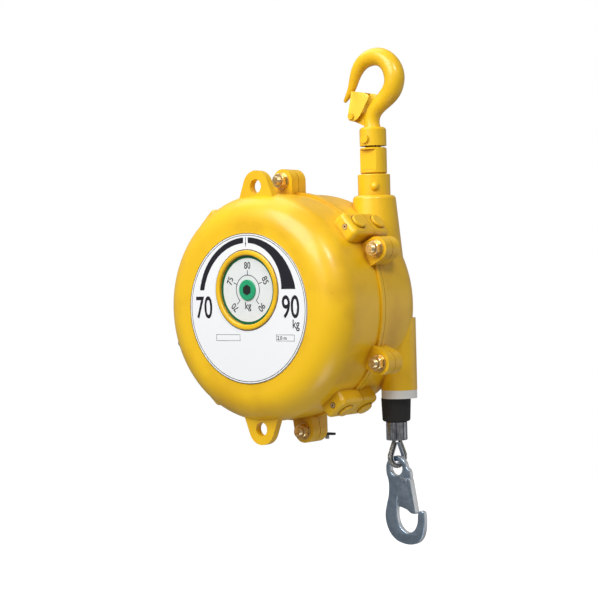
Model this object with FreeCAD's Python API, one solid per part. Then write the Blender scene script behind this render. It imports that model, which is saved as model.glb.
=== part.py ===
"""Spring balancer for hanging tools: cast case, swivel hook, rope drum, mainspring and snap hook.

Every piece is modelled about the case: X to the right, Y from the dial to the back, Z up, with the
drum's axis on Y and the case's seam at Y = 0.  save() then moves each piece by one fixed shift, so
that the stored origin is the point where the suspension hook bears on whatever carries it.
"""
import FreeCAD, Part
import math
import os

V = FreeCAD.Vector
X_AXIS = V(1, 0, 0)
Y_AXIS = V(0, 1, 0)
Z_AXIS = V(0, 0, 1)

# --- clearances ---------------------------------------------------------------------------------
RUN = 0.05            # radial running clearance of a shaft in its bore
SLIP = 0.02           # radial clearance of pieces fixed to each other
SOFT = 0.3            # gap kept by rubber, rope and loose sheet
EMBED = 4.0           # how far a cast boss is rooted in the wall that it stands on

# --- case ---------------------------------------------------------------------------------------
CASE_R = 162.0        # drum-shaped case, outer radius
CORNER_R = 40.0       # rounding between the side and the front or back face
FRONT_DEPTH = 101.6   # seam to front face
REAR_DEPTH = 100.0    # seam to back face
WALL = 6.0            # cast wall
SEAM_H = 3.0          # height of the bead along the seam
SEAM_W = 7.0          # width of the bead on each half
GASKET_T = 1.0        # flange gasket
GASKET_W = 5.0        # radial width of the gasket

# --- flange bolts -------------------------------------------------------------------------------
BOLT_STAND = 16.0     # bolt axes outside the bead
BOLT_ANGLES = (0.0, 64.0, 116.0, 171.0, 244.0, 296.0)   # from +Z towards +X
BOLT_R = 6.0          # M12
BOLT_HOLE_R = 6.5
BOLT_LUG_R = 17.0
BOLT_LUG_T = 16.0     # thickness of the lug on each half
HEX_AF = 19.0         # across flats
HEX_H = 9.0
WASHER_R = 12.0
WASHER_T = 2.0
BOLT_TAIL = 6.0       # thread standing out of the nut

# --- safety lugs --------------------------------------------------------------------------------
LUG_Y = -72.0         # middle of the plate
LUG_T = 11.4
LUG_HOLE_R = 10.0
LUG_STAND = 10.0      # hole's axis outside the case
LUG_TIP_R = 22.5
LUG_BASE_HALF = 34.0
LUG_ROOT = 16.0       # depth of the plate's foot inside the case's outline

# --- plugged bosses around the case ------------------------------------------------------------
PAD_ANGLES = (50.0, 143.0, 223.0, 317.0)                # from +Z towards +X
PAD_H = 20.0          # outer face above the case
PAD_W = 40.0
PAD_Y0 = -46.0
PAD_Y1 = 37.0
PAD_EDGE = 7.0        # rounding of the casting
PLUG_Y = (-25.0, 20.0)
PLUG_R = 11.0
PLUG_T = 4.0
SET_SCREW_R = 3.5
SET_SCREW_L = 8.0
SET_SCREW_HEX = 3.0

# --- dial and label -----------------------------------------------------------------------------
LABEL_R = 106.0
LABEL_T = 1.0
DIAL_Z = 26.0         # dial centre above the case axis
DIAL_R = 48.7
DIAL_T = 2.0
DIAL_GAP = 0.3        # between the dial and its well
RIM_W = 7.0           # raised rim round the dial
RIM_H = 3.5
DIAL_SINK = 1.5       # dial face below the front face
HUB_R = 14.6
HUB_T = 2.4
HUB_HEX_AF = 12.0
HUB_HEX_DEPTH = 6.0

# --- tension gear train ------------------------------------------------------------------------
MODULE = 1.0          # dial gears
PINION_TEETH = 16
DIAL_TEETH = 36
DIAL_GEAR_Y = (-93.0, -89.0)
BACKLASH = 0.12       # thinning of each tooth flank
DIAL_SHAFT_R = 5.0
PLATE_Y = (-87.0, -82.0)   # gear plate
PLATE_R = 70.0
POST_R = 7.0
POST_CIRCLE_R = 60.0
WORM_MODULE = 2.0
WHEEL_TEETH = 40
WHEEL_Y = (-80.0, -68.0)
WORM_PITCH_R = 10.0
WORM_SHAFT_R = 6.0
WORM_TURNS = 4
WORM_BLOCK_X = 22.0   # inner face of each bearing block
WORM_BLOCK_T = 9.0
WORM_SHY = 10.0       # the worm's key end stays this far inside the case's outline
WORM_HEX_AF = 8.0
WORM_HEX_DEPTH = 8.0
WORM_BLOCK_HALF = 12.0
WORM_BLOCK_REACH = 10.0    # block past the worm's middle plane
PLATE_SCREW_R = 2.5
PLATE_SCREW_HEAD_R = 4.5
PLATE_SCREW_HEAD_T = 3.0

# --- main shaft, arbor, spring ------------------------------------------------------------------
SHAFT_R = 12.5
SHAFT_Y0 = -58.0
SHAFT_TAIL = 4.0      # shaft past the back wall
SHAFT_NUT_AF = 36.0
SHAFT_NUT_T = 8.0
REAR_BOSS_R = 30.0
REAR_BOSS_L = 12.0
ARBOR_R = 20.0
ARBOR_Y = (-54.0, 12.0)
NECK_R = 15.0         # arbor neck through the gear plate and the worm wheel
SPRING_Y = (-50.0, 8.0)
SPRING_T = 2.2
SPRING_TURNS = 10
SPRING_CASE_GAP = 18.0    # spring case to the wall
SPRING_CASE_WALL = 5.0
SPRING_CASE_Y0 = -57.0
SPRING_LID_T = 3.0

# --- drum and rope ------------------------------------------------------------------------------
ROPE_R = 3.0          # 6 mm wire rope
ROPE_INSET = 34.68    # the rope's line inside the case's outline
ROPE_LINE_Y = 74.0
GROOVE_PITCH = 6.6
GROOVES = (-2, -1, 0, 1)    # grooves of the drum, counted from the one that the rope leaves
LEAD_GAP = 0.1        # rope to the bottom of its groove
DRUM_Y = (16.0, 91.0)
DRUM_WEB_T = 8.0
DRUM_RIM_T = 6.0
LOCK_FLANGE_GAP = 14.0    # lock flange to the wall
LOCK_FLANGE_Y = (45.0, 57.0)
LOCK_NOTCHES = 12
LOCK_NOTCH_D = 10.0
HUB_OUT_R = 34.0
BEARING_R = 26.0
BEARING_W = 15.0
DRUM_SCREW_CIRCLE_R = 90.0
DRUM_SCREWS = 6
DRUM_SCREW_R = 3.0
DRUM_SCREW_HEAD_R = 5.5
DRUM_SCREW_HEAD_T = 4.0
DRUM_FLANGE_H = 8.0   # end flange above the grooves
LAND_DROP = 0.5       # lands between the grooves below the rope's centre line

# --- drum lock ----------------------------------------------------------------------------------
LOCK_X = 0.0
LOCK_Y = 51.0
LOCK_BOSS_R = 16.0
LOCK_BOSS_H = 25.0    # end of the boss below the case
PLUNGER_R = 4.5
PLUNGER_TRAVEL = 10.0
LEVER_T = 3.0
LEVER_R = 8.0
LEVER_REACH = 29.0
LEVER_W = 9.0
KNOB_R = 3.0
KNOB_L = 6.0
KNOB_X = 19.0
STOP_PIN_AT = (-10.0, -8.0)

# --- tower and swivel ---------------------------------------------------------------------------
HOOK_INSET = 61.0     # the hook's axis inside the case's outline
HOOK_Y = 69.5
TOWER_TOP_Z = 157.0
TOWER_TOP_R = 30.5
TOWER_FOOT_Z = 40.0
TOWER_FOOT_R = 42.0
TOWER_EDGE = 6.0
COLLAR_R = 23.4
COLLAR_Z = (157.0, 187.3)
COLLAR_PIN_Z = 169.0
DOME_R = 6.4
SWIVEL_R = 19.3
SWIVEL_Z = (188.2, 225.6)
SWIVEL_STEM_R = 12.0
SWIVEL_STEM_Z = 128.0
SWIVEL_FLAT = 13.6    # distance of each milled flat from the axis
SWIVEL_FLAT_Z = (193.0, 223.0)
SWIVEL_NUT_R = 18.0
SWIVEL_NUT_H = 9.0
TONGUE_HALF = 6.8
TONGUE_R = 9.0
KNUCKLE_PIN_Z = 238.0
KNUCKLE_PIN_R = 5.0
KNUCKLE_HEAD_R = 6.2
KNUCKLE_HEAD_T = 3.5
BLOCK_Z = (228.2, 255.0)
BLOCK_CHAMFER = 3.0

# --- suspension hook ----------------------------------------------------------------------------
BEARING_Z = 343.0     # inside top of the bowl: the stored origin
# centre line as (x from the swivel axis, z, diameter), shank to tip
HOOK_LINE = (
    (0.0, 249.0, 26.0), (-1.0, 262.0, 22.5), (3.5, 277.0, 22.5), (19.0, 291.0, 25.0),
    (35.0, 306.0, 28.0), (40.0, 324.0, 29.5), (32.5, 343.5, 28.5), (16.0, 355.0, 26.5),
    (-3.0, 355.0, 24.0), (-18.0, 347.0, 20.5), (-28.0, 333.0, 16.5), (-34.0, 317.5, 13.0),
    (-41.0, 305.0, 9.5), (-47.5, 297.0, 5.5),
)
LATCH_X = -27.0       # latch pivot from the swivel axis
LATCH_Z = 272.0
LATCH_PIN_R = 3.0
LATCH_EAR_R = 7.0
LATCH_EAR_HALF = 10.0
LATCH_T = 2.0
LATCH_HALF = 15.4     # outside of each cheek from the hook's middle plane
LATCH_TIP = (-30.5, 308.5)
LATCH_HEEL = (-3.0, 299.5)

# --- rope end -----------------------------------------------------------------------------------
GUIDE_SHIFT = 6.0     # middle of the guide outside the rope's line
OUTLET_R = 26.0
OUTLET_Z = -123.0
OUTLET_TOP_Z = -20.0
GUIDE_R = 25.6
GUIDE_H = 12.0
GUIDE_HOLE_R = 12.0
GUIDE_SPIGOT_R = 17.0
GUIDE_SPIGOT_H = 12.0
BUMPER_R = 21.4
BUMPER_FOOT_R = 20.0
BUMPER_H = 33.4
SLEEVE_R = 15.3
SLEEVE_H = 27.0
LOOP_R = 13.5         # rope centre line at the bottom of the loop
LOOP_DROP = 38.0      # sleeve to the rope's centre at the bottom
LOOP_NECK = 4.6       # half distance of the legs at the sleeve
LOOP_YAW = 20.0       # turn of the loop's plane about the rope, in degrees
THIMBLE_T = 1.5
THIMBLE_W = 7.0

# --- snap hook ----------------------------------------------------------------------------------
SNAP_T = 10.6         # plate thickness
EYE_HOLE_R = 10.4
EYE_HANG = 3.2        # play of the eye on the thimble
EYE_CHAMFER = 2.3
SNAP_EDGE = 1.6
# outline from the eye's centre, as (x, z): outside first, then back along the inside
SNAP_OUTSIDE = ((-17.5, -4.2), (-14.6, -20.0), (-14.8, -38.0), (-18.0, -56.0), (-18.5, -71.0),
                (-13.5, -88.0), (-1.5, -102.0), (15.0, -109.0), (29.0, -108.0), (38.0, -98.0),
                (41.5, -79.0), (44.0, -60.0))
SNAP_INSIDE = ((36.5, -60.5), (34.0, -79.5), (25.0, -90.0), (13.0, -87.0), (5.5, -74.0),
               (3.5, -56.0), (2.0, -40.0), (6.0, -29.0))
SNAP_SHOULDER = ((22.0, -24.0), (25.0, -10.0), (17.9, 2.0))
GATE_X = 15.0
GATE_Z = -19.0
GATE_PIN_R = 2.4
GATE_T = 5.0
GATE_SLOT_HALF = 2.9
GATE_OUTLINE = ((9.0, -22.0), (13.5, -12.5), (26.5, -11.5), (35.6, -60.5), (29.2, -61.5), (19.0, -29.0))
SNAP_PIVOT_HEAD_R = 4.2
SNAP_PIVOT_HEAD_T = 1.4

# --- worked-out places --------------------------------------------------------------------------
SEAM_R = CASE_R + SEAM_H
BOLT_CIRCLE_R = SEAM_R + BOLT_STAND
LUG_HOLE_Z = CASE_R + LUG_STAND
LUG_BASE_Z = CASE_R - LUG_ROOT
PAD_R = CASE_R + PAD_H
WORM_REACH = CASE_R - WORM_SHY
SPRING_CASE_R = CASE_R - WALL - SPRING_CASE_GAP
LOCK_FLANGE_R = CASE_R - WALL - LOCK_FLANGE_GAP
LOCK_BOSS_Z = -CASE_R - LOCK_BOSS_H
ROPE_LINE_X = CASE_R - ROPE_INSET     # the rope leaves the drum straight down at this distance
HOOK_X = CASE_R - HOOK_INSET
GUIDE_X = ROPE_LINE_X + GUIDE_SHIFT
SHIFT = V(-HOOK_X, -HOOK_Y, -BEARING_Z)
GUIDE_BOTTOM_Z = OUTLET_Z - GUIDE_H
BUMPER_TOP_Z = GUIDE_BOTTOM_Z - SOFT
SLEEVE_TOP_Z = BUMPER_TOP_Z - BUMPER_H
SLEEVE_BOTTOM_Z = SLEEVE_TOP_Z - SLEEVE_H
SNAP_PIVOT_Z = SLEEVE_BOTTOM_Z - LOOP_DROP
EYE_Z = SNAP_PIVOT_Z + ROPE_R + THIMBLE_T + EYE_HANG - EYE_HOLE_R
WELL_R = DIAL_R + DIAL_GAP
REAR_SEAM_Y = GASKET_T


# --- helpers ------------------------------------------------------------------------------------
def rod(radius, start, direction, length):
    """Cylinder from a point along a direction."""
    return Part.makeCylinder(radius, length, start, direction)


def rod_y(radius, y0, y1, x=0.0, z=0.0):
    """Cylinder along Y."""
    return rod(radius, V(x, y0, z), Y_AXIS, y1 - y0)


def rod_z(radius, z0, z1, x=0.0, y=0.0):
    """Cylinder along Z."""
    return rod(radius, V(x, y, z0), Z_AXIS, z1 - z0)


def ring_y(outer, inner, y0, y1, x=0.0, z=0.0):
    """Flat ring about an axis along Y."""
    return rod_y(outer, y0, y1, x, z).cut(rod_y(inner, y0 - 1, y1 + 1, x, z))


def ring_z(outer, inner, z0, z1, x=0.0, y=0.0):
    """Flat ring about an axis along Z."""
    return rod_z(outer, z0, z1, x, y).cut(rod_z(inner, z0 - 1, z1 + 1, x, y))


def polygon(points):
    """Closed wire through points."""
    return Part.makePolygon(list(points) + [points[0]])


def plate_y(wire, y0, y1):
    """Solid between two Y planes from a closed wire drawn at y = 0."""
    face = Part.Face(wire)
    face.translate(V(0, y0, 0))
    return face.extrude(V(0, y1 - y0, 0))


def hexagon_y(across, y0, y1, x=0.0, z=0.0):
    """Hexagonal prism along Y."""
    corner = across / math.sqrt(3)
    points = [V(x + corner * math.sin(math.radians(a)), 0, z + corner * math.cos(math.radians(a)))
              for a in range(30, 390, 60)]
    return plate_y(polygon(points), y0, y1)


def turned_y(profile):
    """Full turn about Y of a closed profile of (radius, y) points and arcs."""
    edges = []
    here = profile[0]
    for step in profile[1:]:
        if len(step) == 4:                    # (via radius, via y, end radius, end y)
            edges.append(Part.Arc(V(here[0], here[1], 0), V(step[0], step[1], 0),
                                  V(step[2], step[3], 0)).toShape())
            here = step[2:]
        else:
            edges.append(Part.makeLine(V(here[0], here[1], 0), V(step[0], step[1], 0)))
            here = step
    edges.append(Part.makeLine(V(here[0], here[1], 0), V(profile[0][0], profile[0][1], 0)))
    return Part.Face(Part.Wire(edges)).revolve(V(0, 0, 0), Y_AXIS, 360)


def around_y(shape, angle):
    """Copy turned about the case axis, from +Z towards +X for a positive angle."""
    copy = shape.copy()
    copy.rotate(V(0, 0, 0), Y_AXIS, angle)
    return copy


def on_circle(radius, angle):
    """Place (x, z) at an angle from +Z towards +X."""
    return radius * math.sin(math.radians(angle)), radius * math.cos(math.radians(angle))


def tangent_point(radius, x, z, way=1.0):
    """Point where the line from (x, z) touches a circle about the origin, clockwise or not of (x, z)."""
    lean = math.atan2(x, z) + way * math.acos(radius / math.hypot(x, z))
    return V(radius * math.sin(lean), 0, radius * math.cos(lean))


def fused(shapes):
    """One solid from touching shapes."""
    body = shapes[0].multiFuse(list(shapes[1:])) if len(shapes) > 1 else shapes[0]
    return body.removeSplitter()


def single(shape):
    """The shape's one solid."""
    if len(shape.Solids) != 1:
        raise ValueError("expected one solid, found %d" % len(shape.Solids))
    return shape.Solids[0]


def save(name, *shapes):
    """Writes one node from one or more separate solids."""
    solids = [solid for shape in shapes for solid in shape.Solids]
    node = solids[0] if len(solids) == 1 else Part.makeCompound(solids)
    node.translate(SHIFT)
    if not node.isValid():
        raise ValueError("invalid solid in " + name)
    node.exportStep("parts/%s.step" % name)


# --- case ---------------------------------------------------------------------------------------
def half_drum(radius, corner, y_seam, y_face):
    """Solid half of the drum-shaped case, from the seam to a rounded face."""
    side = math.copysign(1.0, y_face - y_seam)
    y_bend = y_face - side * corner
    middle = corner * math.sqrt(0.5)
    return turned_y([(0, y_seam), (radius, y_seam), (radius, y_bend),
                     (radius - corner + middle, y_bend + side * middle, radius - corner, y_face),
                     (0, y_face)])


def bolt_lug(angle, y0, y1):
    """Round lug with a foot that reaches the case wall."""
    foot = Part.makeBox(2 * BOLT_LUG_R, y1 - y0, BOLT_CIRCLE_R - CASE_R + WALL,
                        V(-BOLT_LUG_R, y0, CASE_R - WALL))
    return around_y(fused([rod_y(BOLT_LUG_R, y0, y1, 0, BOLT_CIRCLE_R), foot]), angle)


def pad(angle, y0, y1, closed_end):
    """Half of a rounded cast boss on the case's side; the seam end stays flat."""
    box = Part.makeBox(PAD_W, y1 - y0, PAD_R - CASE_R + 3 * WALL,
                       V(-PAD_W / 2, y0, CASE_R - 3 * WALL))
    rounded = []
    for edge in box.Edges:
        middle = edge.CenterOfMass
        at_end = abs(middle.y - closed_end) < 1e-6
        at_side = abs(abs(middle.x) - PAD_W / 2) < 1e-6
        at_top = abs(middle.z - PAD_R) < 1e-6
        if at_top and (at_end or at_side) or (at_end and at_side):
            rounded.append(edge)
    return around_y(box.makeFillet(PAD_EDGE, rounded), angle)


def safety_lug(top):
    """Plate with one hole for a safety rope, above or below the case."""
    y0 = LUG_Y - LUG_T / 2
    side = tangent_point(LUG_TIP_R, LUG_BASE_HALF, LUG_BASE_Z - LUG_HOLE_Z, -1.0)
    side.z += LUG_HOLE_Z
    left = V(-side.x, 0, side.z)
    crown = V(0, 0, LUG_HOLE_Z + LUG_TIP_R)
    base_right = V(LUG_BASE_HALF, 0, LUG_BASE_Z)
    base_left = V(-LUG_BASE_HALF, 0, LUG_BASE_Z)
    wire = Part.Wire([Part.makeLine(base_right, side), Part.Arc(side, crown, left).toShape(),
                      Part.makeLine(left, base_left), Part.makeLine(base_left, base_right)])
    plate = plate_y(wire, y0, y0 + LUG_T)
    plate = plate.cut(rod_y(LUG_HOLE_R, y0 - 1, y0 + LUG_T + 1, 0, LUG_HOLE_Z))
    return plate if top else around_y(plate, 180.0)


def bolt_holes(y0, y1):
    """Clearance holes of all flange bolts."""
    return [rod_y(BOLT_HOLE_R, y0, y1, *on_circle(BOLT_CIRCLE_R, a)) for a in BOLT_ANGLES]


def set_screw_places():
    """Place (x, z) of the set screw in the front end of each boss."""
    return [on_circle((PAD_R + CASE_R) / 2, angle) for angle in PAD_ANGLES]


def cover_posts():
    """Place (x, z) of the posts that carry the gear plate."""
    return [on_circle(POST_CIRCLE_R, angle) for angle in (60.0, 120.0, 240.0, 300.0)]


def make_front_cover():
    """Front half: dial well and rim, safety lugs, bolt lugs, bosses, gear posts."""
    body = [half_drum(CASE_R, CORNER_R, 0.0, -FRONT_DEPTH), rod_y(SEAM_R, -SEAM_W, 0.0)]
    body += [bolt_lug(angle, -BOLT_LUG_T, 0.0) for angle in BOLT_ANGLES]
    body += [pad(angle, PAD_Y0, 0.0, PAD_Y0) for angle in PAD_ANGLES]
    body += [safety_lug(True), safety_lug(False)]
    rim = ring_y(WELL_R + RIM_W, WELL_R, -FRONT_DEPTH - RIM_H, -FRONT_DEPTH + WALL / 2, 0, DIAL_Z)
    crest = [edge for edge in rim.Edges if abs(edge.CenterOfMass.y + FRONT_DEPTH + RIM_H) < 1e-6]
    body.append(rim.makeFillet(RIM_H * 0.6, crest))
    cover = fused(body)
    hollow = half_drum(CASE_R - WALL, CORNER_R - WALL, 1.0, -FRONT_DEPTH + WALL)
    tools = [hollow, rod_y(WELL_R, -FRONT_DEPTH - RIM_H - 1, -FRONT_DEPTH + WALL + 1, 0, DIAL_Z)]
    tools += bolt_holes(-BOLT_LUG_T - 1, 1.0)
    tools += [rod_y(SET_SCREW_R + SLIP, PAD_Y0 - 1, PAD_Y0 + SET_SCREW_L, x, z)
              for x, z in set_screw_places()]
    tools.append(rod(WORM_SHAFT_R + RUN, V(-CASE_R, worm_y(), -worm_distance()), X_AXIS, 4 * WALL))
    cover = cover.cut(tools)
    posts = [rod_y(POST_R, -FRONT_DEPTH + WALL - 1, PLATE_Y[0], x, z) for x, z in cover_posts()]
    save("front_cover", single(fused([cover] + posts)))


def make_rear_case():
    """Rear half: tower, rope outlet, shaft boss, drum lock boss, bolt lugs, bosses."""
    y0 = REAR_SEAM_Y
    body = [half_drum(CASE_R, CORNER_R, y0, REAR_DEPTH), rod_y(SEAM_R, y0, y0 + SEAM_W)]
    body += [bolt_lug(angle, y0, y0 + BOLT_LUG_T) for angle in BOLT_ANGLES]
    body += [pad(angle, y0, PAD_Y1, PAD_Y1) for angle in PAD_ANGLES]
    tower = Part.makeCone(TOWER_FOOT_R, TOWER_TOP_R, TOWER_TOP_Z - TOWER_FOOT_Z,
                          V(HOOK_X, HOOK_Y, TOWER_FOOT_Z), Z_AXIS)
    top = [edge for edge in tower.Edges if abs(edge.CenterOfMass.z - TOWER_TOP_Z) < 1e-6]
    tower = tower.makeFillet(TOWER_EDGE, top)
    tower = tower.cut(Part.makeBox(2 * TOWER_FOOT_R, TOWER_FOOT_R, TOWER_TOP_Z,
                                   V(HOOK_X - TOWER_FOOT_R, y0 - TOWER_FOOT_R, 0)))
    body.append(tower)
    outlet = rod_z(OUTLET_R, OUTLET_Z, OUTLET_TOP_Z, GUIDE_X, ROPE_LINE_Y)
    body.append(outlet)
    body.append(rod_z(LOCK_BOSS_R, LOCK_BOSS_Z, -CASE_R + 3 * WALL, LOCK_X, LOCK_Y))
    case = fused(body)
    hollow = half_drum(CASE_R - WALL, CORNER_R - WALL, y0 - 1.0, REAR_DEPTH - WALL)
    tools = [hollow] + bolt_holes(y0 - 1, y0 + BOLT_LUG_T + 1)
    tools.append(rod_z(GUIDE_SPIGOT_R + SLIP, OUTLET_Z - 1, OUTLET_Z + GUIDE_SPIGOT_H,
                       GUIDE_X, ROPE_LINE_Y))
    tools.append(rod_z(GUIDE_HOLE_R, OUTLET_Z - 1, OUTLET_TOP_Z, GUIDE_X, ROPE_LINE_Y))
    tools.append(rod_z(PLUNGER_R + RUN, LOCK_BOSS_Z - 1, -CASE_R + 4 * WALL, LOCK_X, LOCK_Y))
    x, y = STOP_PIN_AT
    tools.append(rod_z(KNOB_R, LOCK_BOSS_Z - 1, LOCK_BOSS_Z + KNOB_L, LOCK_X + x, LOCK_Y + y))
    tools.append(rod_z(SWIVEL_NUT_R + 2, SWIVEL_STEM_Z - 14, SWIVEL_STEM_Z + SWIVEL_NUT_H + 2,
                       HOOK_X, HOOK_Y))
    tools.append(rod_z(SWIVEL_STEM_R + RUN, SWIVEL_STEM_Z - 1, TOWER_TOP_Z + 1, HOOK_X, HOOK_Y))
    case = case.cut(tools)
    boss = rod_y(REAR_BOSS_R, REAR_DEPTH - WALL - REAR_BOSS_L + 10, REAR_DEPTH - WALL / 2)
    case = fused([case, boss]).cut(rod_y(SHAFT_R, 0, REAR_DEPTH + 1))
    save("rear_case", single(case))


def make_gasket():
    """Flat ring in the seam."""
    save("flange_gasket", ring_y(CASE_R - 0.5, CASE_R - GASKET_W, 0.0, GASKET_T))


def make_flange_fasteners():
    """Bolts from the back, nuts and washers at the front."""
    head_y = REAR_SEAM_Y + BOLT_LUG_T
    nut_y = -BOLT_LUG_T - WASHER_T
    bolts, nuts, washers = [], [], []
    for angle in BOLT_ANGLES:
        x, z = on_circle(BOLT_CIRCLE_R, angle)
        shank = rod_y(BOLT_R, nut_y - HEX_H - BOLT_TAIL, head_y + 1, x, z)
        bolts.append(fused([shank, hexagon_y(HEX_AF, head_y, head_y + HEX_H, x, z)]))
        nut = hexagon_y(HEX_AF, nut_y - HEX_H, nut_y, x, z)
        nuts.append(nut.cut(rod_y(BOLT_R + SLIP, nut_y - HEX_H - 1, nut_y + 1, x, z)))
        washers.append(ring_y(WASHER_R, BOLT_R + SLIP, nut_y, nut_y + WASHER_T, x, z))
    save("flange_bolts", *bolts)
    save("flange_nuts", *nuts)
    save("flange_washers", *washers)


def make_boss_trim():
    """Round plugs on the bosses and set screws in their front ends."""
    plugs, screws = [], []
    for angle in PAD_ANGLES:
        for y in PLUG_Y:
            plug = Part.makeCylinder(PLUG_R, PLUG_T, V(0, y, PAD_R), Z_AXIS)
            crest = [edge for edge in plug.Edges if abs(edge.CenterOfMass.z - PAD_R - PLUG_T) < 1e-6]
            plugs.append(around_y(plug.makeFillet(PLUG_T * 0.4, crest), angle))
    for x, z in set_screw_places():
        screw = rod_y(SET_SCREW_R, PAD_Y0 - 0.5, PAD_Y0 + SET_SCREW_L, x, z)
        screws.append(screw.cut(hexagon_y(SET_SCREW_HEX, PAD_Y0 - 1, PAD_Y0 + 2, x, z)))
    save("boss_plugs", *plugs)
    save("boss_set_screws", *screws)


def make_name_plate():
    """Blank round plate on the front face, cut out round the dial rim."""
    plate = rod_y(LABEL_R, -FRONT_DEPTH - LABEL_T, -FRONT_DEPTH)
    window = rod_y(WELL_R + RIM_W + SOFT, -FRONT_DEPTH - LABEL_T - 1, -FRONT_DEPTH + 1, 0, DIAL_Z)
    save("name_plate", plate.cut(window))


# --- gears --------------------------------------------------------------------------------------
def gear_wire(module, teeth, y, turn, thinning):
    """Closed outline of a gear with straight-sided teeth on its pitch circle."""
    pitch_r = module * teeth / 2
    points = []
    for tooth in range(teeth):
        centre = turn + 2 * math.pi * tooth / teeth
        for radius, half in ((pitch_r - 1.25 * module, 1.19), (pitch_r + module, 0.40)):
            share = half * module - thinning
            pair = [centre - share / radius, centre + share / radius]
            points.append((radius, pair))
    outline = []
    for root, tip in zip(points[0::2], points[1::2]):
        for radius, angle in ((root[0], root[1][0]), (tip[0], tip[1][0]), (tip[0], tip[1][1]),
                              (root[0], root[1][1])):
            outline.append(V(radius * math.sin(angle), y, radius * math.cos(angle)))
    return polygon(outline)


def spur_gear(module, teeth, y0, y1, turn=0.0, thinning=BACKLASH, twist=0.0):
    """Gear about Y; twist turns the far end, for the teeth of a worm wheel."""
    near = gear_wire(module, teeth, y0, turn - twist / 2, thinning)
    if not twist:
        return Part.Face(near).extrude(V(0, y1 - y0, 0))
    far = gear_wire(module, teeth, y1, turn + twist / 2, thinning)
    return Part.makeLoft([near, far], True, True)


def worm_distance():
    """Distance of the worm's axis below the case axis."""
    return WORM_MODULE * WHEEL_TEETH / 2 + WORM_PITCH_R


def worm_y():
    """Middle plane of the worm wheel."""
    return sum(WHEEL_Y) / 2


def make_dial():
    """Scale disc with its hub, on a shaft with the driven gear."""
    face_y = -FRONT_DEPTH + DIAL_SINK
    disc = rod_y(DIAL_R, face_y, face_y + DIAL_T, 0, DIAL_Z)
    disc = disc.cut(rod_y(DIAL_SHAFT_R + SLIP, face_y - 1, face_y + DIAL_T + 1, 0, DIAL_Z))
    save("dial_disc", disc)
    hub = rod_y(HUB_R, face_y - HUB_T, face_y, 0, DIAL_Z)
    crest = [edge for edge in hub.Edges if abs(edge.CenterOfMass.y - face_y + HUB_T) < 1e-6]
    hub = hub.makeFillet(HUB_T * 0.4, crest)
    shaft = rod_y(DIAL_SHAFT_R, face_y - 1, PLATE_Y[1] + 1.5, 0, DIAL_Z)
    shaft = fused([hub, shaft]).cut(
        hexagon_y(HUB_HEX_AF * 0.55, face_y - HUB_T - 1, face_y + HUB_HEX_DEPTH, 0, DIAL_Z))
    socket = hexagon_y(HUB_HEX_AF, face_y - HUB_T - 1, face_y - 0.6, 0, DIAL_Z)
    save("dial_hub", single(shaft.cut(socket)))
    turn = math.pi + math.pi / DIAL_TEETH
    gear = spur_gear(MODULE, DIAL_TEETH, *DIAL_GEAR_Y, turn)
    gear.translate(V(0, 0, DIAL_Z))
    gear = gear.cut(rod_y(DIAL_SHAFT_R + SLIP, DIAL_GEAR_Y[0] - 1, DIAL_GEAR_Y[1] + 1, 0, DIAL_Z))
    save("dial_gear", gear)


def make_gear_plate():
    """Plate on the cover's posts: bearings of the dial shaft, the arbor and the worm."""
    y0, y1 = PLATE_Y
    plate = rod_y(PLATE_R, y0, y1)
    low = -worm_distance()
    blocks = []
    for x in (-WORM_BLOCK_X - WORM_BLOCK_T, WORM_BLOCK_X):
        blocks.append(Part.makeBox(WORM_BLOCK_T, worm_y() + WORM_BLOCK_REACH - y1 + 1,
                                   2 * WORM_BLOCK_HALF, V(x, y1 - 1, low - WORM_BLOCK_HALF)))
    bores = [rod_y(DIAL_SHAFT_R + RUN, y0 - 1, y1 + 1, 0, DIAL_Z), rod_y(NECK_R + RUN, y0 - 1, y1 + 1),
             rod(WORM_SHAFT_R + RUN, V(-PLATE_R, worm_y(), low), X_AXIS, 2 * PLATE_R)]
    bores += [rod_y(PLATE_SCREW_R, y0 - 1, y1 + 1, x, z) for x, z in cover_posts()]
    window = WORM_PITCH_R + WORM_MODULE + 1.5
    bores.append(Part.makeBox(2 * WORM_BLOCK_X - 2, y1 - y0 + 2, 2 * window,
                              V(1 - WORM_BLOCK_X, y0 - 1, low - window)))
    save("gear_plate", single(fused([plate] + blocks).cut(bores)))
    screws = []
    for x, z in cover_posts():
        head = rod_y(PLATE_SCREW_HEAD_R, y1, y1 + PLATE_SCREW_HEAD_T, x, z)
        screws.append(fused([head, rod_y(PLATE_SCREW_R - SLIP, y0, y1 + 1, x, z)]))
    save("gear_plate_screws", *screws)


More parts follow.
